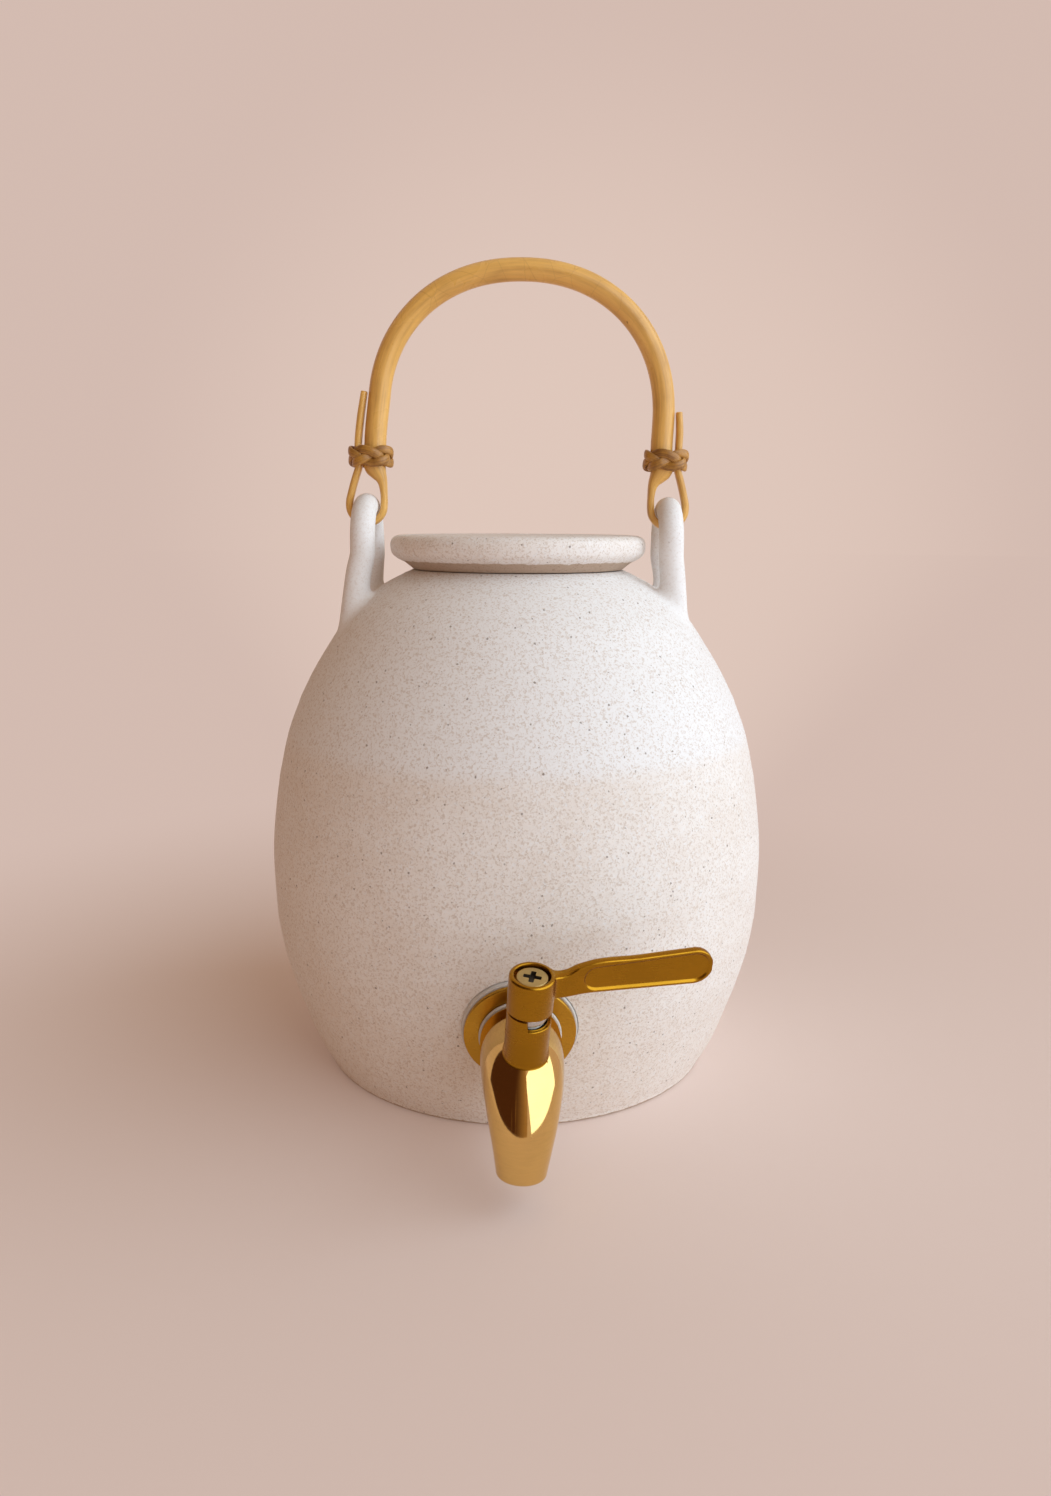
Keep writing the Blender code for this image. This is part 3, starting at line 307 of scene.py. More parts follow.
# painted shade with some tarnish, for the sunk faces of the screw's cross
CROSS_SHADE_AND_TARNISH = (0.035, 0.024, 0.012)
SEAT_WHITE = (0.80, 0.80, 0.77)
RUBBER_BLACK = (0.028, 0.028, 0.028)

# Camera: placed where the photograph was taken from
LENS = 27.29
SENSOR = 36.0
CAMERA_PLACE = Vector((0.0034, -0.46, 0.2177))
CAMERA_PITCH = radians(78.67)
CAMERA_ROLL = radians(0.30)

# Light: bearings from straight in front of the tap, positive to its right
WINDOW_BEARING = radians(62)
WINDOW_RISE = radians(26)
WINDOW_DISTANCE = 1.5
WINDOW_WIDTH = 2.6
WINDOW_HEIGHT = 1.9
WINDOW_POWER = 34.0
WINDOW_AIM = (0, 0, 0.1)
SCREEN_RADIUS = 1.1
SCREEN_START = radians(-102)
SCREEN_END = radians(12)
SCREEN_FOOT = 0.0
SCREEN_TOP = 2.6
SCREEN_STEPS = 24
FLOOR_SIDES = 96
LIT_EDGE_START = -0.45           # across the screen, in shares of its radius
LIT_EDGE_END = 0.30
FLOOR_FADE_START = 0.11
FLOOR_FADE_END = 0.46
# share of the backdrop's glow kept even next to the pot, painted light that lightens its shadow on the floor
FLOOR_LEAST_GLOW = 0.20
GLOW_HEADING = (0.05, 0.99875, 0)


def length(name, description, default):
    return FloatProperty(
        name=name, description=description, default=default, min=0, precision=4, subtype="DISTANCE",
        unit="LENGTH",
    )


def colour(name, description, default):
    return FloatVectorProperty(
        name=name, description=description, default=default, min=0, max=1, size=3, subtype="COLOR"
    )


class JarSettings(bpy.types.PropertyGroup):
    height: length("Jar height", "Base to mouth rim", 0.1986)
    mouth_radius: length("Mouth radius", "Inside the rim", 0.036)
    facets: IntProperty(name="Facets", description="Steps round jar and lid", default=200, min=32, max=400)
    glaze: colour("Glaze", "Satin white glaze", (0.87, 0.84, 0.81))
    glaze_warm: colour("Warm glaze", "Where the clay shows through thin glaze", (0.82, 0.765, 0.715))
    glaze_pooled: colour("Pooled glaze", "Whiter band where the glaze is thick", (0.865, 0.862, 0.862))
    fleck: colour("Flecks", "Iron flecks in the glaze", (0.16, 0.105, 0.075))
    clay: colour("Bare clay", "Unglazed clay under the lid and the foot", (0.52, 0.40, 0.305))
    clay_dark: colour("Dark clay", "Iron-stained clay in the glaze", (0.30, 0.20, 0.14))


class LidSettings(bpy.types.PropertyGroup):
    radius: length("Lid radius", "At the widest part of its edge", 0.0506)
    height: length("Lid height", "Seat to top", 0.0134)
    foot_radius: length("Lid foot radius", "Where it meets the jar's rim", 0.0416)


class HandleSettings(bpy.types.PropertyGroup):
    cane_radius: length("Cane radius", "Of the round cane", 0.0043)
    cane: colour("Cane", "Pale honey cane", (0.82, 0.475, 0.125))
    cane_dark: colour("Dark cane", "Fibres, specks and bruises in the cane", (0.36, 0.165, 0.035))
    strand_width: length("Strand width", "Of the split rattan in the knots", 0.0034)
    strand_thickness: length("Strand thickness", "Of the split rattan in the knots", 0.0014)
    rattan: colour("Rattan", "Glossy split rattan", (0.54, 0.265, 0.050))
    rattan_dark: colour("Dark rattan", "Streaks in the rattan", (0.20, 0.080, 0.016))


class TapSettings(bpy.types.PropertyGroup):
    barrel_radius: length("Barrel radius", "Of the tap body where it leaves the wall", 0.0138)
    collar_radius: length("Collar radius", "Upright collar that holds the valve", 0.0072)
    flange_radius: length("Flange radius", "Gold plate behind the tap", 0.0194)
    outer_seal_radius: length("Outer seal radius", "Washer between plate and jar", 0.0201)
    body_seal_radius: length("Body seal radius", "Thin washer between tap and plate", 0.0143)
    gold: colour("Polished gold", "Spout and collar", (0.80, 0.54, 0.19))
    satin: colour("Satin gold", "Lever and collar", (0.42, 0.205, 0.014))
    plate: colour("Plate gold", "Flange plate", (0.58, 0.315, 0.035))
    brass: colour("Screw brass", "Dull screw head", (0.56, 0.42, 0.17))
    steel: colour("Steel", "Inner fittings", (0.62, 0.62, 0.61))
    silicone: colour("Silicone", "White washers", (0.70, 0.69, 0.67))


class LeverSettings(bpy.types.PropertyGroup):
    length: length("Lever length", "Stem's axis to the tip", 0.0590)
    paddle_height: length("Paddle height", "At the rounded tip", 0.0128)
    paddle_thickness: length("Paddle thickness", "Front to back", 0.0028)
    hub_radius: length("Hub radius", "Round boss over the stem", 0.0074)
    screw_radius: length("Screw head radius", "In the hub's recess", 0.0051)


class StageSettings(bpy.types.PropertyGroup):
    floor_radius: length("Floor radius", "Of the round floor", 8.0)
    floor: colour("Floor", "Pale rose floor as it is seen", (0.84, 0.71, 0.655))
    floor_bounce: colour("Floor bounce", "Tint of the light that the floor throws back", (0.80, 0.63, 0.53))
    backdrop: colour("Backdrop", "What the camera sees behind the pot", (0.655, 0.500, 0.440))
    backdrop_glow: colour("Backdrop glow", "Where the backdrop is lightest", (0.740, 0.575, 0.500))
    ambient: colour("Ambient light", "Warm light from the right and behind", (0.56, 0.41, 0.29))
    ambient_dim: colour("Dim ambient light", "Warm light from the left", (0.25, 0.125, 0.045))
    key: colour("Key light", "Cool light of the large window on the right", (0.69, 0.86, 1.0))
    dark_room: colour("Dark side", "What the metal mirrors on the left", (0.075, 0.028, 0.014))
    lit_edge: colour("Lit edge of the dark screen", "Where the window light reaches it", (0.42, 0.25, 0.12))


class WaterPotSettings(bpy.types.PropertyGroup):
    jar: PointerProperty(type=JarSettings)
    lid: PointerProperty(type=LidSettings)
    handle: PointerProperty(type=HandleSettings)
    tap: PointerProperty(type=TapSettings)
    lever: PointerProperty(type=LeverSettings)
    stage: PointerProperty(type=StageSettings)


# Curves


def smooth_run(points, steps):
    """A smooth run through rows of numbers; the first two of each row are its place on a plane."""
    spans = [hypot(after[0] - before[0], after[1] - before[1]) for before, after in zip(points, points[1:])]
    rates = [
        [(later - sooner) / span for sooner, later in zip(before, after)]
        for before, after, span in zip(points, points[1:], spans)
    ]
    slopes = [rates[0]]
    for before, after, span, next_span in zip(rates, rates[1:], spans, spans[1:]):
        slopes.append([
            (early * next_span + late * span) / (span + next_span) for early, late in zip(before, after)
        ])
    slopes.append(rates[-1])
    run = []
    for index, span in enumerate(spans):
        for step in range(steps):
            share = step / steps
            start = 2 * share ** 3 - 3 * share ** 2 + 1
            weights = (start, (share ** 3 - 2 * share ** 2 + share) * span, 1 - start)
            weights = (*weights, (share ** 3 - share ** 2) * span)
            rows = zip(points[index], slopes[index], points[index + 1], slopes[index + 1])
            run.append(tuple(sum(value * weight for value, weight in zip(row, weights)) for row in rows))
    run.append(tuple(points[-1]))
    return run


def rounded(corners, steps=6):
    """A profile of (radius, height, rounding) corners as points, with its corners turned to arcs."""
    points = []
    for index, (radius, height, rounding) in enumerate(corners):
        here = Vector((radius, height))
        if rounding == 0:
            points.append(tuple(here))
            continue
        before = (Vector(corners[index - 1][:2]) - here).normalized()
        after = (Vector(corners[(index + 1) % len(corners)][:2]) - here).normalized()
        half = before.angle(after) / 2
        middle = here + (before + after).normalized() * (rounding / sin(half))
        spoke = here + before * (rounding / tan(half)) - middle
        way = 1 if before.cross(after) < 0 else -1
        for step in range(steps + 1):
            angle = way * (pi - 2 * half) * step / steps
            points.append(tuple(middle + Matrix.Rotation(angle, 2) @ spoke))
    return points


def tangents(path):
    ends = [path[0], *path, path[-1]]
    return [(after - before).normalized() for before, after in zip(ends, ends[2:])]


def section(centre, across, along, half_across, half_along, count, power=2.0):
    """A ring of points: an ellipse, or for a higher power a fuller oval with flatter sides."""
    ring = []
    for step in range(count):
        angle = tau * step / count
        wide = abs(cos(angle)) ** (2 / power) * (1 if cos(angle) >= 0 else -1)
        high = abs(sin(angle)) ** (2 / power) * (1 if sin(angle) >= 0 else -1)
        ring.append(centre + across * half_across * wide + along * half_along * high)
    return ring


def soft_step(low, high, value):
    share = min(1, max(0, (value - low) / (high - low)))
    return share * share * (3 - 2 * share)


# Mesh building


def turned(profile, steps, place=None, closed=False):
    """A profile of (radius, height) points turned all the way round local Z."""
    shape = bmesh.new()
    corners = [shape.verts.new((radius, 0, height)) for radius, height in profile]
    edges = [shape.edges.new(pair) for pair in zip(corners, corners[1:])]
    if closed:
        edges.append(shape.edges.new((corners[-1], corners[0])))
    bmesh.ops.spin(
        shape, geom=corners + edges, cent=(0, 0, 0), axis=(0, 0, 1), dvec=(0, 0, 0), angle=tau, steps=steps,
        use_merge=True,
    )
    if place:
        bmesh.ops.transform(shape, matrix=place, verts=shape.verts)
    return shape


def grown(shape, ring, edges, points):
    """Extrudes a ring of edges and moves the new ring to its points, in the same order."""
    made = bmesh.ops.extrude_edge_only(shape, edges=edges)["geom"]
    fresh = {item for item in made if isinstance(item, bmesh.types.BMVert)}
    spokes_too = [item for item in made if isinstance(item, bmesh.types.BMEdge)]
    new_edges = [edge for edge in spokes_too if fresh.issuperset(edge.verts)]
    faces = [item for item in made if isinstance(item, bmesh.types.BMFace)]
    new_ring = []
    for vert, point in zip(ring, points):
        follower = next(v for e in vert.link_edges for v in [e.other_vert(vert)] if v in fresh)
        follower.co = point
        new_ring.append(follower)
    return new_ring, new_edges, faces


def tube(rings, shape=None, closed=True, join_ends=False):
    """Skins rings of points. UVs run along the tube in metres and once round it from 0 to 1."""
    if shape is None:
        shape = bmesh.new()
    count = len(rings[0])
    chart = shape.loops.layers.uv.verify()
    ring = bmesh.ops.create_circle(shape, segments=count, radius=1)["verts"]
    ring.sort(key=lambda vert: atan2(vert.co.y, vert.co.x) % tau)
    for vert, point in zip(ring, rings[0]):
        vert.co = point
    edges = [shape.edges.get((vert, after)) for vert, after in zip(ring, ring[1:] + ring[:1])]
    first_edges = edges
    travelled = 0.0
    for before, points in zip(rings, rings[1:]):
        start = sum(before, Vector()) / count
        stride = max((sum(points, Vector()) / count - start).length, (points[0] - before[0]).length)
        columns = {vert: index for index, vert in enumerate(ring)}
        new_ring, edges, faces = grown(shape, ring, edges, points)
        new_columns = {vert: index for index, vert in enumerate(new_ring)}
        for face in faces:
            marks = [columns.get(vert, new_columns.get(vert)) for vert in face.verts]
            wraps = max(marks) - min(marks) > 1
            for loop in face.loops:
                near = loop.vert in columns
                column = columns[loop.vert] if near else new_columns[loop.vert]
                around = count if wraps and column == 0 else column
                loop[chart].uv = (travelled if near else travelled + stride, around / count)
        travelled += stride
        ring = new_ring
    if closed:
        bmesh.ops.edgeloop_fill(shape, edges=first_edges)
        bmesh.ops.edgeloop_fill(shape, edges=edges)
    if join_ends:
        bmesh.ops.bridge_loops(shape, edges=first_edges + edges)
    return shape


def prism(outline, low, high):
    """A flat outline of (x, y) points raised from low to high along local Z."""
    shape = bmesh.new()
    face = shape.faces.new([shape.verts.new((x, y, low)) for x, y in outline])
    raised = bmesh.ops.extrude_face_region(shape, geom=[face])
    top = [item for item in raised["geom"] if isinstance(item, bmesh.types.BMVert)]
    bmesh.ops.translate(shape, verts=top, vec=(0, 0, high - low))
    return shape


def linked(name, shape):
    """Turns a bmesh into an object of the scene and frees it."""
    mesh = bpy.data.meshes.new(name)
    shape.to_mesh(mesh)
    shape.free()
    item = bpy.data.objects.new(name, mesh)
    bpy.context.scene.collection.objects.link(item)
    return item


def finished(name, shape, finish, body, nodes, sharp=SHARP, cutters=()):
    """Turns a bmesh into a shaded piece that rides on a body and stands for CAD nodes."""
    bmesh.ops.remove_doubles(shape, verts=shape.verts, dist=MERGE)
    bmesh.ops.recalc_face_normals(shape, faces=shape.faces)
    item = linked(name, shape)
    for cutter in cutters:
        carve(item, cutter)
    mesh = item.data
    mesh.materials.clear()
    mesh.materials.append(finish)
    mesh.shade_smooth()
    mesh.set_sharp_from_angle(angle=sharp)
    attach(item, body)
    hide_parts(*nodes)
    return item


def carve(item, cutter_shape):
    """Cuts a bmesh out of an item's mesh and frees it."""
    bmesh.ops.recalc_face_normals(cutter_shape, faces=cutter_shape.faces)
    cutter = linked("cutter", cutter_shape)
    cut = item.modifiers.new("cut", "BOOLEAN")
    cut.operation = "DIFFERENCE"
    cut.solver = "EXACT"
    cut.object = cutter
    graph = bpy.context.evaluated_depsgraph_get()
    carved = bpy.data.meshes.new_from_object(item.evaluated_get(graph))
    carved.name = item.name
    item.modifiers.clear()
    item.data = carved
    bpy.data.objects.remove(cutter)


def landing(line, tree):
    """Where a line of points first meets a surface: the index before it, the point and the normal."""
    for index, (before, after) in enumerate(zip(line, line[1:])):
        way = after - before
        point, normal, _, _ = tree.ray_cast(before, way.normalized(), way.length)
        if point:
            return index, point, normal
    raise ValueError("a leg doesn't reach the surface that it stands on")


def along_line(line, distance):
    """The point a distance along a line of points."""
    for before, after in zip(line, line[1:]):
        step = (after - before).length
        if distance <= step:
            return before.lerp(after, distance / step)
        distance -= step
    return line[-1]


def planted(lines, tree, blend, steps):
    """Rings down the lines of a leg, ended by a fillet that flows out onto the surface it stands on."""
    feet = [landing(line, tree) for line in lines]
    centre = sum((point for _, point, _ in feet), Vector()) / len(feet)
    columns = []
    for line, (index, foot, normal) in zip(lines, feet):
        drop = sum((b - a).length for a, b in zip(line[:index + 1], line[1:index + 1]))
        drop += (foot - line[index]).length
        shaft = max(drop - blend, drop * LEAST_SHAFT)
        points = [along_line(line, shaft * step / steps) for step in range(steps + 1)]
        out = foot - centre
        out = (out - normal * out.dot(normal)).normalized()
        end, end_normal, _, _ = tree.find_nearest(foot + out * blend)
        end = end - end_normal * TOUCH / 3
        start = points[-1]
        for step in range(1, FILLET_STEPS + 1):
            share = step / FILLET_STEPS
            points.append(start.lerp(foot, share).lerp(foot.lerp(end, share), share))
        columns.append(points)
    return [list(ring) for ring in zip(*columns)]


# Materials


def put(tree, kind, inputs=None, **settings):
    """Adds a node to a tree. Its inputs are sockets to link or plain values."""
    made = tree.nodes.new(kind)
    for name, value in settings.items():
        setattr(made, name, value)
    for name, value in (inputs or {}).items():
        socket = made.inputs[name]
        if isinstance(value, bpy.types.NodeSocket):
            tree.links.new(value, socket)
        else:
            socket.default_value = value
    return made


def sums(tree, operation, first, second=0.0, third=0.0, clamp=False):
    inputs = {0: first, 1: second, 2: third}
    return put(tree, "ShaderNodeMath", inputs, operation=operation, use_clamp=clamp).outputs[0]


def times(tree, first, second):
    return sums(tree, "MULTIPLY", first, second)


def weighted(tree, first, *others):
    """The sum of values, each times its weight."""
    total = times(tree, *first)
    for part in others:
        total = sums(tree, "ADD", total, times(tree, *part))
    return total


def strayed(tree, value, wander, reach):
    """A value that a noise moves up and down, so that an edge drawn by it isn't straight."""
    return sums(tree, "ADD", value, times(tree, sums(tree, "SUBTRACT", wander, 0.5), reach))


def mixed(tree, factor, first, second):
    """A colour between two others."""
    inputs = {0: factor, 6: first, 7: second}
    for index in (6, 7):
        if not isinstance(inputs[index], bpy.types.NodeSocket):
            inputs[index] = (*inputs[index][:3], 1)
    return put(tree, "ShaderNodeMix", inputs, data_type="RGBA").outputs[2]


def spread(tree, value, low, high, start=0.0, end=1.0, smooth=True):
    """Maps a value from low..high to start..end."""
    kind = "SMOOTHSTEP" if smooth else "LINEAR"
    inputs = {"Value": value, "From Min": low, "From Max": high, "To Min": start, "To Max": end}
    return put(tree, "ShaderNodeMapRange", inputs, interpolation_type=kind).outputs["Result"]


def noise(tree, where, scale, detail=2.0, roughness=0.5, distortion=0.0):
    inputs = {"Vector": where, "Scale": scale, "Detail": detail, "Roughness": roughness}
    return put(tree, "ShaderNodeTexNoise", {**inputs, "Distortion": distortion}).outputs[0]


def stretched(tree, where, scale, shift=(0, 0, 0), turn=(0, 0, 0)):
    inputs = {"Vector": where, "Location": shift, "Rotation": turn, "Scale": scale}
    return put(tree, "ShaderNodeMapping", inputs).outputs[0]


def new_group(name, inputs, outputs):
    """A shader node group with named float inputs and outputs; returns the group and its end nodes."""
    group = bpy.data.node_groups.new(name, "ShaderNodeTree")
    for title, kind, default in inputs:
        socket = group.interface.new_socket(title, in_out="INPUT", socket_type=kind)
        if default is not None:
            socket.default_value = default
    for title, kind in outputs:
        group.interface.new_socket(title, in_out="OUTPUT", socket_type=kind)
    return group, group.nodes.new("NodeGroupInput"), group.nodes.new("NodeGroupOutput")


def fleck_group():
    """Scattered specks of mixed sizes."""
    name = "Flecks"
    if name in bpy.data.node_groups:
        return bpy.data.node_groups[name]
    inputs = [
        ("Vector", "NodeSocketVector", None), ("Scale", "NodeSocketFloat", 300.0),
        ("Size", "NodeSocketFloat", 0.2), ("Share", "NodeSocketFloat", 0.5),
    ]
    group, given, result = new_group(name, inputs, [("Mask", "NodeSocketFloat")])
    where, scale, size, share = given.outputs[:4]
    ragged = noise(group, where, 1800.0, 2.0)
    cells = put(group, "ShaderNodeTexVoronoi", {"Vector": where, "Scale": scale})
    parts = put(group, "ShaderNodeSeparateColor", {0: cells.outputs["Color"]})
    size = times(group, size, spread(group, parts.outputs[0], 0.0, 1.0, 0.35, 1.0))
    size = times(group, size, spread(group, ragged, 0.25, 0.75, 0.6, 1.4))
    near = sums(group, "DIVIDE", cells.outputs["Distance"], size)
    spot = spread(group, near, 0.55, 1.0, 1.0, 0.0)
    chosen = sums(group, "LESS_THAN", parts.outputs[1], share)
    group.links.new(times(group, spot, chosen), result.inputs["Mask"])
    return group


def flecks(tree, where, scale, size, share):
    inputs = {"Vector": where, "Scale": scale, "Size": size, "Share": share}
    return put(tree, "ShaderNodeGroup", inputs, node_tree=fleck_group()).outputs["Mask"]


def smudge_group():
    """Faint cloudy handling marks and fine lines, as a value from 0 to 1."""
    name = "Handling"
    if name in bpy.data.node_groups:
        return bpy.data.node_groups[name]
    inputs = [("Vector", "NodeSocketVector", None), ("Scale", "NodeSocketFloat", 60.0)]
    group, given, result = new_group(name, inputs, [("Value", "NodeSocketFloat")])
    where, scale = given.outputs[:2]
    clouds = noise(group, where, scale, 4.0, 0.6)
    lines = noise(group, stretched(group, where, (1, 1, 14)), 160.0, 3.0, 0.7)
    group.links.new(weighted(group, (clouds, 0.65), (lines, 0.35)), result.inputs["Value"])
    return group


def handling(tree, where, scale):
    inputs = {"Vector": where, "Scale": scale}
    return put(tree, "ShaderNodeGroup", inputs, node_tree=smudge_group()).outputs["Value"]


def bare_tree(holder):
    """Empties the node tree of a material or a world."""
    holder.use_nodes = True
    holder.node_tree.nodes.clear()
    return holder.node_tree


def ended(tree, shader, kind="ShaderNodeOutputMaterial"):
    """Leads a shader to the output of its tree."""
    tree.links.new(shader.outputs[0], put(tree, kind).inputs["Surface"])


def new_material(name):
    """A material with an empty tree but for its output and principled shader."""
    finish = bpy.data.materials.new(name)
    tree = bare_tree(finish)
    shader = put(tree, "ShaderNodeBsdfPrincipled")
    ended(tree, shader)
    return finish, tree, shader


def dress(tree, shader, **inputs):
    """Sets or links a shader's inputs; underscores in the names stand for spaces."""
    for name, value in inputs.items():
        socket = shader.inputs[name.replace("_", " ")]
        if isinstance(value, bpy.types.NodeSocket):
            tree.links.new(value, socket)
        elif hasattr(value, "__len__") and len(value) == 3:
            socket.default_value = (*value, 1)
        else:
            socket.default_value = value


def bump(tree, height, distance, strength=1.0, under=None):
    inputs = {"Height": height, "Distance": distance, "Strength": strength}
    if under:
        inputs["Normal"] = under
    return put(tree, "ShaderNodeBump", inputs).outputs[0]


def places(tree):
    return put(tree, "ShaderNodeTexCoord").outputs["Object"]


def along_axis(tree, where, axis="Z"):
    return put(tree, "ShaderNodeSeparateXYZ", {0: where}).outputs[axis]


def along_strand(tree, scale, shift=(0, 0, 0), turn=(0, 0, 0)):
    """A stretched chart of a tube: along it in metres, and once round it."""
    run = put(tree, "ShaderNodeTexCoord").outputs["UV"]
    return stretched(tree, run, scale, shift, turn)


def glaze_finish(name, look, banded, bare_below=None, speckle=1.0):
    """Satin glaze with iron flecks, thinner and warmer in places, with bare clay below a height."""
    finish, tree, shader = new_material(name)
    where = places(tree)
    height = along_axis(tree, where)
    clouds = noise(tree, where, 30.0, 3.0, 0.6)
    mottle = noise(tree, where, 280.0, 3.0, 0.6)
    rings = noise(tree, stretched(tree, where, (5, 5, 150)), 1.0, 3.0, 0.55)
    warm = weighted(tree, (clouds, 0.55), (mottle, 0.25), (rings, 0.2))
    tone = mixed(tree, spread(tree, warm, 0.38, 0.64), look.glaze, look.glaze_warm)
    if banded:
        edge = strayed(tree, height, clouds, BAND_WANDER)
        band = times(tree, spread(tree, edge, *BAND_START), spread(tree, edge, *BAND_END, 1.0, 0.85))
        tone = mixed(tree, band, tone, look.glaze_pooled)
    strokes = noise(tree, where, 1150.0, 2.0, 0.65, 0.8)
    pale = noise(tree, stretched(tree, where, (1, 1, 1), (0.31, 0.17, 0.07)), 900.0, 2.0, 0.65, 0.9)
    dots = flecks(tree, where, 310.0, 0.16, 0.60)
    small_dots = flecks(tree, stretched(tree, where, (1, 1, 1), (0.2, 0.1, 0.3)), 480.0, 0.17, 0.45)
    for factor, tint in (
        (spread(tree, pale, 0.54, 0.66, 0.0, 0.85), look.glaze_pooled),
        (spread(tree, strokes, 0.50, 0.63, 0.0, 0.50 * speckle), look.clay),
        (times(tree, small_dots, 0.6 * speckle), look.clay_dark),
        (times(tree, dots, 0.8 * speckle), look.fleck),
    ):
        tone = mixed(tree, factor, tone, tint)
    gloss = spread(tree, mottle, 0.3, 0.7, 0.56, 0.70)
    relief = bump(tree, rings, 0.00035, 0.8)
    relief = bump(tree, noise(tree, where, 420.0, 2.0, 0.5), 0.00012, 0.9, relief)
    relief = bump(tree, sums(tree, "ADD", strokes, dots), 0.00004, 0.6, relief)
    if bare_below is not None:
        line = strayed(tree, height, mottle, BARE_WANDER)
        bare = spread(tree, line, bare_below - BARE_EDGE, bare_below + BARE_EDGE, 1.0, 0.0)
        clay = mixed(tree, spread(tree, strokes, 0.5, 0.7, 0.0, 0.6), look.clay, look.clay_dark)
        tone = mixed(tree, bare, tone, clay)
        gloss = sums(tree, "ADD", gloss, times(tree, bare, 0.25), clamp=True)
    dress(tree, shader, Base_Color=tone, Roughness=gloss, Normal=relief, Specular_IOR_Level=0.35)
    return finish


def cane_finish(name, look):
    """Peeled cane: long fibres, blotches, small dark specks and fine scratches round the bend."""
    finish, tree, shader = new_material(name)
    where = places(tree)
    fibres = noise(tree, along_strand(tree, (60, 26, 1)), 1.0, 4.0, 0.65)
    long_streaks = noise(tree, along_strand(tree, (14, 9, 1)), 1.0, 3.0, 0.55)
    blotches = noise(tree, where, 75.0, 3.0, 0.55)
    dark = weighted(tree, (fibres, 0.35), (long_streaks, 0.4), (blotches, 0.25))
    tone = mixed(tree, spread(tree, dark, 0.40, 0.74, 0.0, 0.75), look.cane, look.cane_dark)
    scratched = along_strand(tree, (95, 2.0, 1), (0.3, 0.1, 0), (0, 0, 0.5))
    lines = put(
        tree, "ShaderNodeTexVoronoi", {"Vector": scratched, "Scale": 1.0}, feature="DISTANCE_TO_EDGE",
    ).outputs["Distance"]
    upper = spread(tree, along_axis(tree, where), *SCRATCH_START)
    scratch = times(tree, spread(tree, lines, 0.003, 0.020, 1.0, 0.0), upper)
    tone = mixed(tree, times(tree, scratch, 0.22), tone, look.cane_dark)
    specks = flecks(tree, stretched(tree, where, (1, 1, 0.6)), 330.0, 0.16, 0.22)
    tone = mixed(tree, times(tree, specks, 0.8), tone, look.cane_dark)
    gloss = spread(tree, blotches, 0.3, 0.7, 0.24, 0.38)
    dress(tree, shader, Base_Color=tone, Roughness=gloss, Normal=bump(tree, fibres, 0.00012, 0.7))
    return finish


def rattan_finish(name, look):
    finish, tree, shader = new_material(name)
    fibres = noise(tree, along_strand(tree, (45, 30, 1)), 1.0, 4.0, 0.6)
    blotches = noise(tree, places(tree), 210.0, 3.0, 0.6)
    dark = weighted(tree, (fibres, 0.6), (blotches, 0.4))
    tone = mixed(tree, spread(tree, dark, 0.36, 0.68), look.rattan, look.rattan_dark)
    gloss = spread(tree, blotches, 0.3, 0.7, 0.26, 0.44)
    dress(tree, shader, Base_Color=tone, Roughness=gloss, Normal=bump(tree, fibres, 0.00014, 0.8))
    return finish


def metal_finish(name, tint, low, high, scale=60.0, grain=0.0):
    """A metal whose roughness varies with handling between low and high."""
    finish, tree, shader = new_material(name)
    where = places(tree)
    marks = handling(tree, where, scale)
    tone = mixed(tree, spread(tree, marks, 0.3, 0.7), tint, [part * 0.86 for part in tint])
    dress(tree, shader, Base_Color=tone, Metallic=1.0, Roughness=spread(tree, marks, 0.3, 0.7, low, high))
    if grain:
        fine = noise(tree, where, 1500.0, 2.0, 0.6)
        dress(tree, shader, Normal=bump(tree, fine, grain, 0.7))
    return finish


def plain_finish(name, tint, roughness, scale=180.0):
    """Rubber or plastic with a faint moulded texture."""
    finish, tree, shader = new_material(name)
    where = places(tree)
    grain = noise(tree, where, scale, 3.0, 0.6)
    tone = mixed(tree, spread(tree, grain, 0.3, 0.7), tint, [part * 0.88 for part in tint])
    gloss = spread(tree, grain, 0.3, 0.7, roughness - 0.06, roughness + 0.06)
    dress(tree, shader, Base_Color=tone, Roughness=gloss, Normal=bump(tree, grain, 0.00003, 0.6))
    return finish


def shared(name, build, *values):
    """A material made once and used again by name."""
    return bpy.data.materials.get(name) or build(name, *values)


def brushed_gold(look):
    return shared("brushed_lever_gold", metal_finish, look.tap.satin, 0.22, 0.32, *BRUSHED)


def turned_steel(look):
    return shared("turned_steel", metal_finish, look.tap.steel, 0.22, 0.34)


def white_silicone(look):
    return shared("white_silicone", plain_finish, look.tap.silicone, 0.48)


# Places in the tap


def tap_frame():
    turn = Matrix.Rotation(TAP_BEARING, 4, "Z") @ Matrix.Rotation(TAP_TILT, 4, "X")
    return Matrix.Translation(TAP_PLACE) @ turn @ Matrix.Rotation(TAP_LEAN, 4, "Y")


def tap_axis():
    return tap_frame() @ Matrix.Rotation(pi / 2, 4, "X")


def stem_frame():
    return tap_frame() @ Matrix.Translation((0, -BARREL_BACK - STEM_OFFSET, 0))


def lever_frame():
    return stem_frame() @ Matrix.Rotation(LEVER_TURN, 4, "Z")


# Jar


def jar_outline():
    """Outer wall from the foot up to the rim, with soft rings left by the thrower's fingers."""
    points = []
    for radius, height in smooth_run(JAR_WALL_POINTS, WALL_STEPS):
        for ring_height, depth in THROWING_RINGS:
            radius += depth * exp(-((height - ring_height) / RING_SPREAD) ** 2)
        points.append((radius, height))
    return points


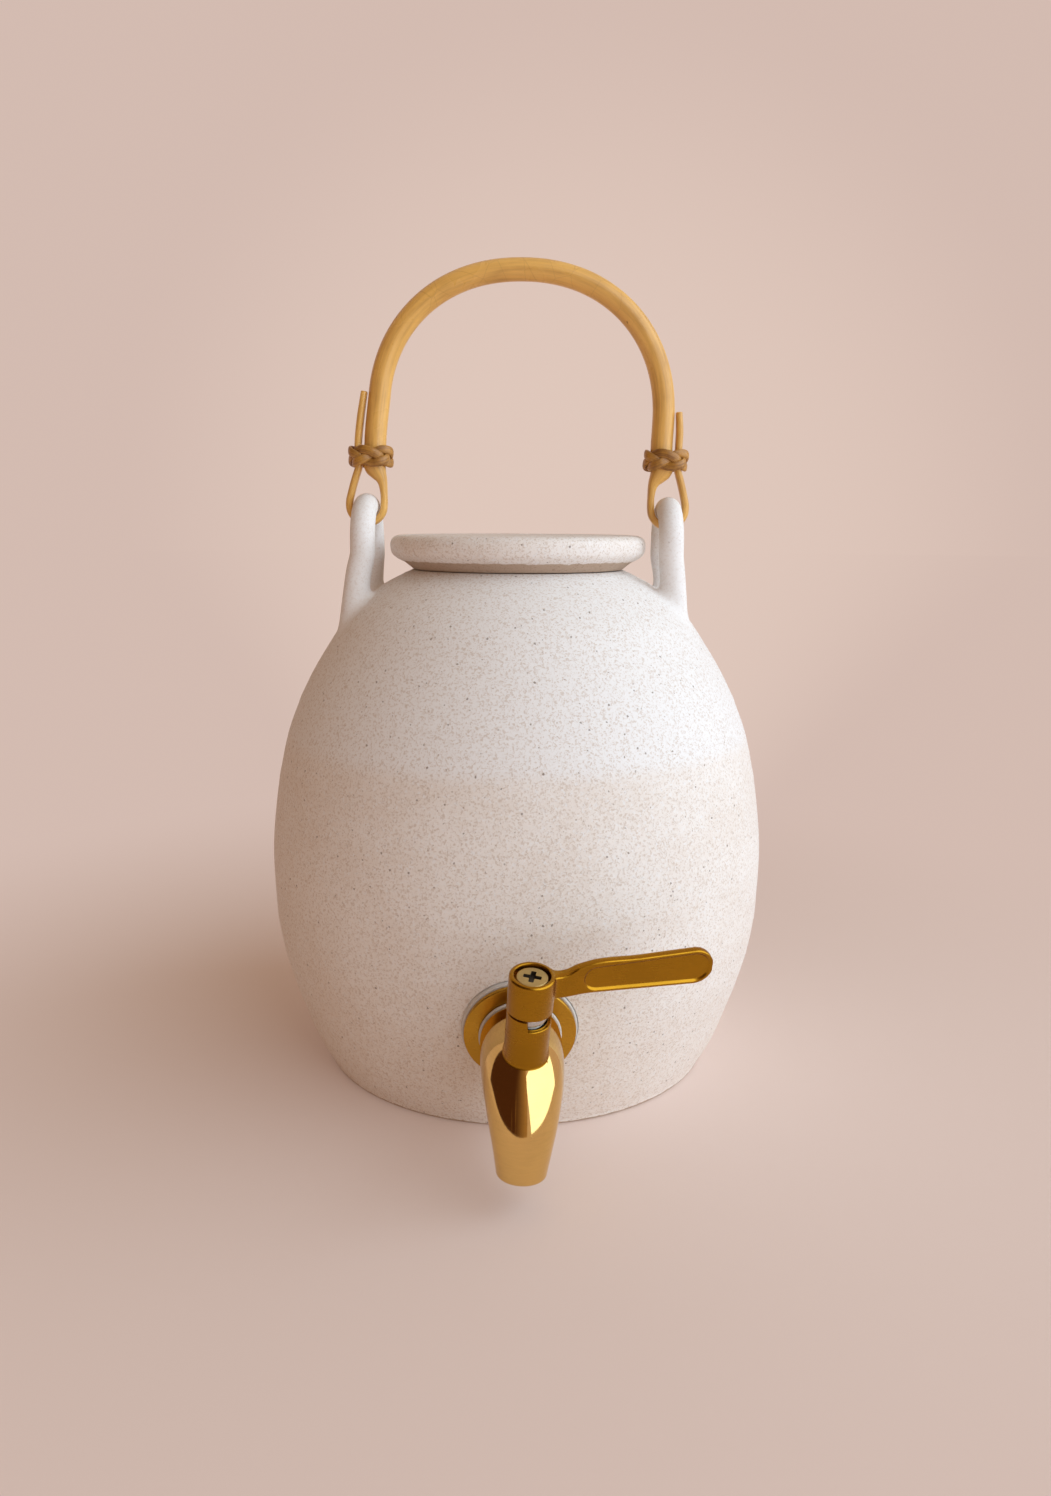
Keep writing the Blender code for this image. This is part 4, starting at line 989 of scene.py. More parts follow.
def jar_profile(jar):
    """The jar's whole outline: foot, wall, rim, inside and floor."""
    wall = jar_outline()
    mouth = jar.mouth_radius
    rim = rounded((
        (*wall[-1], 0), (RIM_RADIUS, jar.height, RIM_ROUNDING), (mouth, jar.height, MOUTH_ROUNDING),
        (mouth, jar.height - MOUTH_DEPTH - MOUTH_ROUNDING, 0),
    ))
    inner = []
    for before, here, after in zip(wall, wall[1:], wall[2:]):
        run = Vector((after[0] - before[0], after[1] - before[1])).normalized()
        radius = here[0] - run.y * JAR_THICKNESS
        height = here[1] + run.x * JAR_THICKNESS
        if height > FLOOR_THICKNESS + FLOOR_FILLET_ROOM and radius > mouth + MOUTH_MARGIN:
            inner.append((radius, height))
    floor = rounded((
        (*inner[0], 0), (inner[0][0] - FLOOR_INSET, FLOOR_THICKNESS, FLOOR_FILLET), (0, FLOOR_THICKNESS, 0),
    ))
    foot = rounded(((*wall[0], 0), (wall[0][0] - FOOT_INSET, 0, FOOT_ROUNDING), (0, 0, 0)))
    return [*foot[::-1], *wall[1:], *rim[1:], *reversed(inner[1:]), *floor]


def tap_drill(radius, back, front, sides):
    """A cylinder along the tap's axis, to cut the wall with."""
    shape = bmesh.new()
    bmesh.ops.create_cone(
        shape, cap_ends=True, segments=sides, radius1=radius, radius2=radius, depth=front - back,
        matrix=tap_axis() @ Matrix.Translation((0, 0, (front + back) / 2)),
    )
    return shape


def add_jar(look):
    seat = tap_drill(SEAT_RADIUS, 0, SEAT_CUT, SEAT_SIDES)
    inner_seat = tap_drill(INNER_SEAT_RADIUS, *INNER_SEAT_SPAN, SEAT_SIDES)
    hole = tap_drill(SHANK_RADIUS + TOUCH, -HOLE_REACH, HOLE_REACH, HOLE_SIDES)
    # bare clay at the foot, its darker band also painted contact shade at the base
    glaze = shared("speckled_glaze", glaze_finish, look.jar, True, BARE_FOOT_AND_CONTACT_SHADE)
    shape = turned(jar_profile(look.jar), look.jar.facets)
    finished("jar", shape, glaze, "pot", ["jar_body"], cutters=(seat, inner_seat, hole))


def wall_tree(look):
    """The jar's outer wall as a surface to stand the lugs on."""
    shape = turned(jar_outline(), look.jar.facets)
    bmesh.ops.recalc_face_normals(shape, faces=shape.faces)
    if shape.faces[0].normal.dot(shape.faces[0].calc_center_median()) < 0:
        bmesh.ops.reverse_faces(shape, faces=shape.faces)
    tree = BVHTree.FromBMesh(shape)
    shape.free()
    return tree


def arch_centre(look):
    return look.jar.height + ARCH_RISE


def lug_leg(look, side, arch_offset, lift, lean, front):
    """Centreline from the top of the arch down to the root, as points."""
    root_offset, power = lean
    centre = arch_centre(look) + lift
    rows = []
    for step in range(ARCH_STEPS):
        angle = pi / 2 * step / ARCH_STEPS
        rows.append((ARCH_RADIUS * sin(angle), centre + ARCH_RADIUS * cos(angle), arch_offset))
    rows.append((ARCH_RADIUS, centre, arch_offset))
    for share in LEG_SHARES:
        leaned = ((share - LEG_SHARES[0]) / (1 - LEG_SHARES[0])) ** power
        reach = ARCH_RADIUS + (LUG_ROOT_SPREAD - ARCH_RADIUS) * share
        height = centre - (centre - LUG_ROOT_HEIGHT) * share
        rows.append((reach, height, arch_offset + (root_offset - arch_offset) * leaned))
    run = smooth_run(rows, FLOW_STEPS)
    return [Vector((side * offset, front * reach, height)) for reach, height, offset in run]


def eased(path, rounds=10):
    """Takes small kinks out of a path, its ends kept."""
    for _ in range(rounds):
        middles = [(a + b * 2 + c) / 4 for a, b, c in zip(path, path[1:], path[2:])]
        path = [path[0], *middles, path[-1]]
    return path


def lug_rings(look, side, centres):
    """Round sections along a lug's centreline, thicker towards its roots."""
    top = arch_centre(look)
    rings = []
    for centre, along in zip(centres, tangents(centres)):
        depth_share = max(0, top - centre.z) / (top - LUG_ROOT_HEIGHT)
        radius = LUG_BAR_RADIUS + (LUG_ROOT_RADIUS - LUG_BAR_RADIUS) * depth_share ** 2
        across = along.cross(Vector((side, 0, 0))).normalized()
        outward = across.cross(along).normalized()
        rings.append(section(centre, outward, across, radius, radius, LUG_SIDES))
    return rings


def add_lugs(look):
    tree = wall_tree(look)
    glaze = shared("speckled_lug_glaze", glaze_finish, look.jar, True, None, LUG_SPECKLE)
    for name, side, arch_offset, lift, leans in LUGS:
        front = lug_leg(look, side, arch_offset, lift, leans[0], -1)
        rear = lug_leg(look, side, arch_offset, lift, leans[1], 1)
        rings = lug_rings(look, side, eased([*reversed(front), *rear[1:]]))
        middle = len(rings) // 2
        columns = list(zip(*rings))
        front_lines = [list(reversed(column[:middle + 1])) for column in columns]
        rear_lines = [list(column[middle:]) for column in columns]
        front_rings = planted(front_lines, tree, LUG_BLEND, LUG_STEPS)
        rear_rings = planted(rear_lines, tree, LUG_BLEND, LUG_STEPS)
        shape = tube([*reversed(front_rings), *rear_rings[1:]], closed=False)
        finished(name + "_glazed", shape, glaze, "pot", [name], sharp=LUG_SHARP)


def add_lid(look):
    lid = look.lid
    base = look.jar.height + TOUCH
    edge = smooth_run([(lid.radius * out, lid.height * up) for out, up in LID_SHARES], FLOW_STEPS)
    outer = look.jar.mouth_radius - RING_GAP
    inner = outer - RING_WIDTH
    under = rounded((
        (*edge[-1], 0), (lid.foot_radius, 0, LID_FOOT_ROUNDING), (outer, 0, RING_TOP_ROUNDING),
        (outer, -RING_DEPTH, RING_FOOT_ROUNDING), (inner, -RING_DEPTH, RING_FOOT_ROUNDING),
        (inner - LID_HOLLOW, LID_HOLLOW, LID_HOLLOW_ROUNDING), (0, LID_HOLLOW, 0),
    ))
    crown = [(radius, lid.height * up) for radius, up in LID_CROWN]
    profile = [(radius, base + height) for radius, height in [*crown, *edge, *under[1:]]]
    shape = turned(profile, look.jar.facets)
    glaze = shared("speckled_lid_glaze", glaze_finish, look.jar, False, base + LID_GLAZE_LINE)
    finished("lid_glazed", shape, glaze, "lid", ["lid"])


# Handle


def bail_point(look, angle, side, out=0.0):
    """A place on the bail's line, or outside it, at an angle from its top."""
    power = 2 / BAIL_FULLNESS
    offset = (BAIL_RADIUS + out) * sin(angle) ** power
    foot = arch_centre(look) + ARCH_RADIUS + KNOT_RISE + BAIL_LIFT
    return offset + side * BAIL_SHIFT, foot + (BAIL_RISE + out) * cos(angle) ** power


def handle_half(look, side, arch_offset, lift):
    """(offset, height, half width, half thickness, fullness) from the bail's top to the tongue's end."""
    cane = look.handle.cane_radius
    round_cane = (cane, cane, CANE_FULLNESS)
    half_width = TONGUE_WIDTH / 2
    half_thick = (TONGUE_THICKNESS + TONGUE_ROUNDING) / 2
    tongue = (half_width, half_thick, TONGUE_FULLNESS)
    loop = LUG_BAR_RADIUS + LOOP_CLEARANCE + half_thick
    bar_height = arch_centre(look) + lift + ARCH_RADIUS
    half = []
    for step in range(BAIL_STEPS):
        half.append((*bail_point(look, pi / 2 * step / BAIL_STEPS, side), *round_cane))
    knot_top = bar_height + KNOT_RISE + KNOT_WIDTH / 2
    knot_foot = knot_top - KNOT_WIDTH
    inner = arch_offset - loop
    drop = knot_foot - bar_height
    for height in (knot_top, knot_foot):
        half.append((LEG_OFFSET, height, *round_cane))
    for drop_share, slim_share in SHAVED_SHARES:
        slimmed = [start + (end - start) * slim_share for start, end in zip(round_cane, tongue)]
        offset = LEG_OFFSET + (inner - LEG_OFFSET) * slim_share
        half.append((offset, knot_foot - drop * drop_share, *slimmed))
    for step in range(LOOP_STEPS + 1):
        angle = pi * step / LOOP_STEPS
        half.append((arch_offset - loop * cos(angle), bar_height - loop * sin(angle), *tongue))
    beside = LEG_OFFSET + TONGUE_STANDOFF
    outer = arch_offset + loop
    for drop_share, out_share in OUTER_TONGUE_SHARES:
        half.append((beside + (outer - beside) * out_share, knot_foot - drop * drop_share, *tongue))
    half.append((beside, knot_top, *tongue))
    at_cane = cane + TOUCH + half_thick
    end_share = (TONGUE_RISES[side] - BAIL_LIFT) / (BAIL_RISE + at_cane)
    end_angle = pi / 2 - max(LEAST_END_SHARE, end_share) ** (BAIL_FULLNESS / 2)
    end_offset, end_height = bail_point(look, end_angle, side, at_cane)
    half.append(((beside + end_offset) / 2 + TOUCH, (knot_top + end_height) / 2, *tongue))
    cut_end = (half_width * TONGUE_END_SHARE, half_thick * TONGUE_END_SHARE, TONGUE_FULLNESS)
    half.append((end_offset, end_height, *cut_end))
    return half


def add_cane(look):
    halves = []
    for _, side, arch_offset, lift, _ in LUGS:
        half = handle_half(look, side, arch_offset, lift)
        halves.append([(side * offset, *rest) for offset, *rest in half])
    stations = smooth_run([*reversed(halves[0]), *halves[1][1:]], CANE_STEPS)
    centres = [Vector((x, 0, z)) for x, z, *_ in stations]
    across = Vector((0, 1, 0))
    rings = []
    for centre, along, (_, _, wide, thick, power) in zip(centres, tangents(centres), stations):
        rings.append(section(centre, across, along.cross(across), wide, thick, CANE_SIDES, power))
    for index, way in ((0, 1), (-1, -1)):
        middle = centres[index]
        along = (centres[index] - centres[index + way]).normalized()
        cap = [middle + (point - middle) * CAP_SHARE + along * CAP_RISE for point in rings[index]]
        rings.insert(0 if index == 0 else len(rings), cap)
    cane = shared("honey_cane", cane_finish, look.handle)
    finished("cane", tube(rings), cane, "handle", ["handle_cane"])


def oval_track(share, radius, straight):
    """Centre and outward normal at a share of the way round two half circles and two straights."""
    straight_run = 2 * straight
    curve_run = pi * radius
    along = (share % 1.0) * (2 * curve_run + 2 * straight_run)
    if along < curve_run:
        angle = -pi / 2 + along / radius
        shift = straight
    elif along < curve_run + straight_run:
        angle = pi / 2
        shift = straight - (along - curve_run)
    elif along < 2 * curve_run + straight_run:
        angle = pi / 2 + (along - curve_run - straight_run) / radius
        shift = -straight
    else:
        angle = -pi / 2
        shift = -straight + (along - 2 * curve_run - straight_run)
    return Vector((shift, 0, 0)), Vector((cos(angle), sin(angle), 0))


def strand_line(hand, straight):
    """Centres and outward normals along one plaited strand, round the middle of its knot."""
    track_radius = hand.cane_radius + TOUCH + STRAND_BED + STRAND_LIFT
    swing = (KNOT_WIDTH - hand.strand_width) / 2
    count = KNOT_LEADS * STRAND_STEPS
    line = []
    for index in range(count + 1):
        run = KNOT_LEADS * (STRAND_END_SHARE + (1 - 2 * STRAND_END_SHARE) * index / count)
        phase = tau * run * KNOT_BIGHTS / KNOT_LEADS
        shift, normal = oval_track(run + 0.5, track_radius, straight)
        radius = track_radius + STRAND_LIFT * sin(2 * phase)
        line.append((shift + normal * radius + Vector((0, 0, swing * cos(phase))), normal))
    return line


def add_knots(look):
    """Split rattan plaited three times round the cane and its tongue, under and over itself."""
    hand = look.handle
    straight = (TONGUE_STANDOFF + TONGUE_THICKNESS / 2 - hand.cane_radius) / 2
    sizes = (hand.strand_width / 2, hand.strand_thickness / 2, STRAND_SIDES, STRAND_FULLNESS)
    rattan = shared("split_rattan", rattan_finish, hand)
    for name, (_, side, _, lift, _) in zip(("left_binding", "right_binding"), LUGS):
        height = arch_centre(look) + ARCH_RADIUS + KNOT_RISE + lift
        place = Vector((side * (LEG_OFFSET + straight), 0, height))
        line = strand_line(hand, straight)
        rings = []
        for (centre, normal), along in zip(line, tangents([centre for centre, _ in line])):
            across = along.cross(normal).normalized()
            raised = across.cross(along).normalized()
            rings.append(section(place + centre, across, raised, *sizes))
        finished(name + "_plait", tube(rings), rattan, "handle", [name])


# Tap


def spout_rows(tap):
    """(outward, height, turn, half width, half depth) along the tap body, in the tap's frame."""
    rows = []
    for reach, drop, turn, wide, deep in SPOUT_SHARES:
        place = (BARREL_BACK + SPOUT_REACH * reach, -SPOUT_DROP * drop, SPOUT_TURN * turn)
        rows.append((*place, tap.barrel_radius * wide, tap.barrel_radius * deep))
    return rows


def body_ring(row):
    reach, height, turn, wide, deep = row
    upright = Vector((0, -sin(turn), cos(turn)))
    return section(Vector((0, -reach, height)), Vector((1, 0, 0)), upright, wide, deep, BODY_SIDES)


def spout_rings(tap):
    """Rings from the inlet end of the threaded shank, over the barrel and down to the spout's bore."""
    shank_end = BARREL_BACK - SHANK_LENGTH
    shank = [(shank_end + INLET_REACH, INLET_RADIUS), (shank_end + INLET_CHAMFER, INLET_RADIUS)]
    shank += [(shank_end, radius) for radius in INLET_EDGE]
    for turn in range(int((SHANK_LENGTH - THREAD_RUNOUT) / THREAD_PITCH)):
        start = shank_end + THREAD_START + THREAD_PITCH * turn
        shank += [(start + THREAD_PITCH * share, SHANK_RADIUS - depth) for share, depth in THREAD_SHARES]
    shank.append((BARREL_BACK, SHANK_RADIUS - THREAD_DEPTH))
    shank += [(BARREL_BACK + reach, radius) for radius, reach in BARREL_EDGE]
    rows = [(reach, 0, 0, radius, radius) for reach, radius in shank]
    barrel = smooth_run(spout_rows(tap), SPOUT_STEPS)
    rows += barrel[2:]
    reach, height, _, end_radius, _ = barrel[-1]
    lip = []
    for step in range(1, SPOUT_STEPS + 1):
        angle = pi / 2 * step / SPOUT_STEPS
        lip.append((end_radius - SPOUT_LIP * (1 - cos(angle)), SPOUT_LIP * sin(angle)))
    lip.append((OUTLET_RADIUS + OUTLET_EDGE, SPOUT_LIP))
    lip.append((OUTLET_RADIUS, SPOUT_LIP - OUTLET_EDGE_DEPTH))
    lip.append((OUTLET_RADIUS, 0))
    for radius, out in lip:
        place = (reach + cos(SPOUT_TURN) * out, height - sin(SPOUT_TURN) * out, SPOUT_TURN)
        rows.append((*place, radius, radius))
    for before in (barrel[-SPOUT_STEPS - 1], barrel[-2 * SPOUT_STEPS - 1]):
        rows.append((*before[:3], OUTLET_DEEP_RADIUS, OUTLET_DEEP_RADIUS))
    return [body_ring(row) for row in rows]


def notch_depth(angle):
    """How far the collar's rim is cut down at an angle round it, with steep edges to its notch."""
    edge = NOTCH_EDGE * tau / COLLAR_SIDES
    bearing = (angle + pi) % tau - pi
    inside = soft_step(NOTCH_START - edge, NOTCH_START, bearing)
    return NOTCH_DEPTH * inside * (1 - soft_step(NOTCH_END, NOTCH_END + edge, bearing))


def collar_rings(tap, tree):
    """The upright collar: bore, rounded rim with its notch, and a fillet onto the barrel."""
    rim = rounded((
        (COLLAR_BORE, COLLAR_BORE_FOOT, 0), (COLLAR_BORE, 0, COLLAR_INNER_ROUNDING),
        (tap.collar_radius, 0, COLLAR_OUTER_ROUNDING), (tap.collar_radius, -COLLAR_SKIRT, 0),
    ))
    place = tap_frame().inverted() @ stem_frame()
    angles = [tau * step / COLLAR_SIDES for step in range(COLLAR_SIDES)]
    rings = []
    for index, (radius, drop) in enumerate(rim):
        ring = []
        for angle in angles:
            height = COLLAR_BORE_FOOT if index == 0 else COLLAR_TOP + drop - notch_depth(angle)
            ring.append(place @ Vector((radius * sin(angle), -radius * cos(angle), height)))
        rings.append(ring)
    down = place.to_3x3() @ Vector((0, 0, -1))
    lines = [[point + down * (SKIRT_STRIDE * step) for step in range(SKIRT_REACH)] for point in rings[-1]]
    skirt = planted(lines, tree, COLLAR_BLEND, SKIRT_STEPS)
    return [*rings, *skirt[1:]]


def tap_piece(name, shape, finish):
    bmesh.ops.transform(shape, matrix=tap_frame(), verts=shape.verts)
    finished(name, shape, finish, "pot", ["tap_body"], sharp=TAP_SHARP)


def add_tap_body(look):
    spout = spout_rings(look.tap)
    skin = tube(spout)
    bmesh.ops.recalc_face_normals(skin, faces=skin.faces)
    tree = BVHTree.FromBMesh(skin)
    skin.free()
    collar = tube(collar_rings(look.tap, tree), closed=False, join_ends=True)
    gold = shared("mirror_gold", metal_finish, look.tap.gold, 0.05, 0.11)
    tap_piece("tap_spout", tube(spout), gold)
    tap_piece("tap_collar", collar, brushed_gold(look))


def add_fittings(look):
    """Washers and flange plate behind the tap, and the ring that closes the valve."""
    tap = look.tap
    bore = SHANK_RADIUS + TOUCH
    satin = shared("brushed_plate_gold", metal_finish, tap.plate, 0.24, 0.34, *BRUSHED)
    low = TOUCH
    for name, radius, thickness, edge, finish, slot in (
        ("outer_seal", tap.outer_seal_radius, SEAL_THICKNESS, 0.0006, white_silicone(look), "silicone"),
        ("flange_plate", tap.flange_radius, FLANGE_THICKNESS, 0.0005, satin, "satin_gold"),
        ("body_seal", tap.body_seal_radius, BODY_SEAL_THICKNESS, 0.00045, white_silicone(look), "silicone"),
    ):
        high = low + thickness
        profile = rounded((
            (bore, low, BORE_EDGE), (radius, low, edge * BACK_EDGE_SHARE), (radius, high, edge),
            (bore, high, BORE_EDGE),
        ))
        shape = turned(profile, WASHER_SIDES, tap_axis(), closed=True)
        finished(name + "_turned", shape, finish, "pot", [name])
        low = high + TOUCH
    inner, outer = GLAND_RADII
    high = GLAND_FOOT + GLAND_HEIGHT
    profile = rounded((
        (inner, GLAND_FOOT, BORE_EDGE), (outer, GLAND_FOOT, GLAND_EDGE), (outer, high, BORE_EDGE),
        (inner, high, BORE_EDGE),
    ))
    shape = turned(profile, GLAND_SIDES, stem_frame(), closed=True)
    finished("gland_ring_turned", shape, turned_steel(look), "pot", ["gland_ring"])


# Lever


def paddle_line(lever):
    """Start of the paddle's centreline and its far end, in the lever's side view."""
    hub_top = HUB_FOOT + HUB_HEIGHT
    start = Vector((PADDLE_START, hub_top + PADDLE_RISE - PADDLE_ROOT_HEIGHT / 2))
    along = Vector((cos(PADDLE_RAKE), sin(PADDLE_RAKE)))
    run = (lever.length - lever.paddle_height / 2 - PADDLE_START) / cos(PADDLE_RAKE)
    return start, along, start + along * run


def arm_edges(lever):
    """Upper and lower edges of the neck and paddle as smooth runs of (reach, height)."""
    start, along, end = paddle_line(lever)
    across = Vector((-along.y, along.x))
    hub_top = HUB_FOOT + HUB_HEIGHT
    neck_foot = hub_top - NECK_HEIGHT
    high = start + across * PADDLE_ROOT_HEIGHT / 2
    low = start - across * PADDLE_ROOT_HEIGHT / 2
    high_end = end + across * lever.paddle_height / 2
    low_end = end - across * lever.paddle_height / 2
    crank = high.x - NECK_WAIST
    lift = high.y - hub_top
    flush = hub_top - TOUCH / 2
    upper = [(0.0, flush), (ARM_FLAT_END, flush), (NECK_WAIST, flush + ARM_SLOPE[0])]
    upper += [(high.x - crank * back, high.y - lift * drop) for back, drop in reversed(CRANK_SHARES)]
    upper += [tuple(high), tuple(high.lerp(high_end, 0.5)), tuple(high_end)]
    lower = [(0.0, neck_foot), (ARM_FLAT_END, neck_foot), (NECK_WAIST, neck_foot + ARM_SLOPE[1])]
    lower += [tuple(low), tuple(low.lerp(low_end, 0.5)), tuple(low_end)]
    return smooth_run(upper, EDGE_STEPS), smooth_run(lower, EDGE_STEPS)


def height_at(edge, reach):
    for before, after in zip(edge, edge[1:]):
        if before[0] <= reach <= after[0]:
            return before[1] + (after[1] - before[1]) * (reach - before[0]) / (after[0] - before[0])
    return edge[-1][1]


def panel_depth(lever, reach, height):
    """How far the paddle's front is sunk at a point: a stadium with soft edges, left bare."""
    start, along, end = paddle_line(lever)
    near_radius = PADDLE_ROOT_HEIGHT / 2 - PANEL_MARGIN
    far_radius = lever.paddle_height / 2 - PANEL_MARGIN
    near = start + along * PANEL_START
    spot = Vector((reach, height))
    way = end - near
    share = min(1, max(0, (spot - near).dot(way) / way.dot(way)))
    out = (spot - near.lerp(end, share)).length - (near_radius + (far_radius - near_radius) * share)
    return PANEL_DEPTH * (1 - soft_step(-PANEL_SOFTNESS, PANEL_SOFTNESS, out))


def neck_half_thickness(lever, reach):
    """Half the arm's thickness: filleted into the hub, then tapering to the paddle."""
    paddle = lever.paddle_thickness / 2
    neck = NECK_THICKNESS / 2
    taper = soft_step(NECK_WAIST + NECK_TAPER[0], PADDLE_START + NECK_TAPER[1], reach)
    half = neck + (paddle - neck) * taper
    centre = sqrt((lever.hub_radius + NECK_FILLET) ** 2 - (neck + NECK_FILLET) ** 2)
    if reach < centre:
        half += NECK_FILLET - sqrt(max(0, NECK_FILLET ** 2 - (centre - reach) ** 2))
    return half


def corner_arc(reach, depth, height, corner, start, last):
    """Points of a quarter arc round the arm's corner, up to a last step."""
    points = []
    for step in range(1, last + 1):
        angle = start + pi / 2 * step / CORNER_STEPS
        points.append(Vector((reach, depth + corner * cos(angle), height + corner * sin(angle))))
    return points


def arm_ring(lever, reach, upper, lower):
    """One upright ring round the arm: front, foot, back and top, with rounded corners."""
    end = paddle_line(lever)[2]
    high = height_at(upper, reach)
    low = height_at(lower, reach)
    half = neck_half_thickness(lever, reach)
    if reach > end.x:
        bow = sqrt(max(0, (lever.paddle_height / 2) ** 2 - (reach - end.x) ** 2))
        high = end.y + max(bow, LEAST_BOW)
        low = end.y - max(bow, LEAST_BOW)
    tip_left = lever.length - reach
    if tip_left < ARM_EDGE:
        half *= sqrt(max(LEAST_TIP_SHARE, 1 - (1 - tip_left / ARM_EDGE) ** 2))
    corner = min(ARM_EDGE, half * EDGE_SHARES[0], (high - low) * EDGE_SHARES[1])
    flat = high - low - 2 * corner
    inset = half - corner
    points = []
    for step in range(FRONT_STEPS + 1):
        height = high - corner - flat * step / FRONT_STEPS
        points.append(Vector((reach, -half + panel_depth(lever, reach, height), height)))
    points += corner_arc(reach, -inset, low + corner, corner, pi, CORNER_STEPS)
    points += corner_arc(reach, inset, low + corner, corner, 1.5 * pi, CORNER_STEPS)
    for step in range(1, BACK_STEPS + 1):
        points.append(Vector((reach, half, low + corner + flat * step / BACK_STEPS)))
    points += corner_arc(reach, inset, high - corner, corner, 0, CORNER_STEPS)
    points += corner_arc(reach, -inset, high - corner, corner, pi / 2, CORNER_STEPS - 1)
    return points


def hub_profile(lever):
    """The hub's section: bore, recess for the screw, rounded rim and the cavity over the collar."""
    top = HUB_FOOT + HUB_HEIGHT
    recess = top - HUB_RECESS_DEPTH
    slight, small, recess_rim = HUB_EDGES
    return rounded((
        (HUB_BORE, HUB_CAVITY_TOP, slight), (HUB_BORE, recess, slight), (HUB_RECESS_RADIUS, recess, small),
        (HUB_RECESS_RADIUS, top, recess_rim), (lever.hub_radius, top, HUB_RIM),
        (lever.hub_radius, HUB_FOOT, small), (HUB_CAVITY, HUB_FOOT, slight),
        (HUB_CAVITY, HUB_CAVITY_TOP, slight),
    ))


def stop_tab(lever):
    """The tab under the hub that travels in the collar's notch and stops the lever."""
    outline = []
    for radius, way in ((lever.hub_radius * TAB_OUTER_SHARE, 1), (TAB_INNER_RADIUS, -1)):
        for step in range(TAB_STEPS + 1):
            angle = way * TAB_HALF_ANGLE * (2 * step / TAB_STEPS - 1)
            outline.append((radius * cos(angle), radius * sin(angle)))
    return prism(outline, COLLAR_TOP - NOTCH_DEPTH + TOUCH, HUB_FOOT + TAB_BED)


def add_lever(look):
    lever = look.lever
    shape = turned(hub_profile(lever), HUB_SIDES, closed=True)
    upper, lower = arm_edges(lever)
    end = paddle_line(lever)[2]
    reaches = [ARM_START + (end.x - ARM_START) * step / ARM_STEPS for step in range(ARM_STEPS + 1)]
    tip = lever.length - end.x
    reaches += [end.x + tip * sin(pi / 2 * step / TIP_STEPS) for step in range(1, TIP_STEPS + 1)]
    tube([arm_ring(lever, reach, upper, lower) for reach in reaches], shape)
    tab = stop_tab(lever)
    tab_mesh = bpy.data.meshes.new("tab")
    tab.to_mesh(tab_mesh)
    tab.free()
    shape.from_mesh(tab_mesh)
    bmesh.ops.transform(shape, matrix=lever_frame(), verts=shape.verts)
    gold = brushed_gold(look)
    finished("lever_satin", shape, gold, "lever_assembly", ["lever"], sharp=LEVER_SHARP)


def cross_cutter(head_top):
    """A cross with slightly rounded tips, to cut into the screw's head."""
    long = CROSS_LENGTH / 2
    wide = CROSS_WIDTH / 2
    arm = [(long, -wide), (long, wide), (wide, wide)]
    outline = list(arm)
    for _ in range(3):
        arm = [(-y, x) for x, y in arm]
        outline += arm
    cutter = prism(outline, head_top - CROSS_DEPTH, head_top + HEAD_CLEARANCE)
    tips = [edge for edge in cutter.edges if abs(edge.verts[0].co.z - edge.verts[1].co.z) > HEAD_SKIN]
    bmesh.ops.bevel(
        cutter, geom=tips, offset=CROSS_ROUNDING, segments=3, profile=0.5, affect="EDGES", material=-1,
        offset_type="OFFSET", clamp_overlap=True,
    )
    return cutter


def shade_and_tarnish_cross(screw, head_top):
    """Gives the sunk faces of the cross a dark material of their own: painted shade in the recess, with some
    tarnish.
    """
    # the dark material paints the shade inside the cross, with some tarnish
    screw.data.materials.append(shared("painted_shade_tarnish_cross", plain_finish, CROSS_SHADE_AND_TARNISH, 0.6))
    local = lever_frame().inverted()
    for face in screw.data.polygons:
        middle = local @ face.center
        sunk = SCREW_HEAD_FOOT + HEAD_SKIN < middle.z < head_top - HEAD_SKIN
        if sunk and hypot(middle.x, middle.y) < CROSS_LENGTH * CROSS_REACH:
            face.material_index = 1


def add_screw(look):
    radius = look.lever.screw_radius
    head_top = SCREW_HEAD_FOOT + SCREW_HEAD_HEIGHT
    foot = SCREW_HEAD_FOOT - SCREW_LENGTH
    rim, under, neck, tip = HEAD_EDGES
    profile = rounded((
        (0, head_top, 0), (radius, head_top, rim), (radius, SCREW_HEAD_FOOT, under),
        (SCREW_RADIUS, SCREW_HEAD_FOOT, neck), (SCREW_RADIUS, foot, tip), (0, foot, 0),
    ))
    shape = turned(profile, SCREW_SIDES, lever_frame())
    cutter = cross_cutter(head_top)
    place = lever_frame() @ Matrix.Rotation(CROSS_TURN, 4, "Z")
    bmesh.ops.transform(cutter, matrix=place, verts=cutter.verts)
    brass = shared("dull_screw_brass", metal_finish, look.tap.brass, 0.36, 0.50, 240.0, 0.00003)
    screw = finished(
        "screw_brass_head", shape, brass, "lever_assembly", ["lever_screw"],
        cutters=(cutter,),
    )
    shade_and_tarnish_cross(screw, head_top)


def dress_inner_nodes(look):
    """Gives the fittings inside the pot and the valve their finishes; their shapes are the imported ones."""
    seat = shared("pale_seat_plastic", plain_finish, SEAT_WHITE, 0.42)
    rubber = shared("black_ring_rubber", plain_finish, RUBBER_BLACK, 0.55)
    for finish, names in (
        (white_silicone(look), ("inner_seal",)),
        (turned_steel(look), ("backing_washer", "lock_nut", "spring_washer", "valve_spindle")),
        (seat, ("inlet_seat", "thrust_washer")),
        (rubber, ("upper_o_ring", "lower_o_ring")),
    ):
        for name in names:
            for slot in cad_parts[name].material_slots:
                slot.material = finish


# Stage


def stage_piece(name, shape, finish):
    """Links a bmesh as it is, for things that aren't part of the pot."""
    item = linked(name, shape)
    item.data.materials.append(finish)
    return item


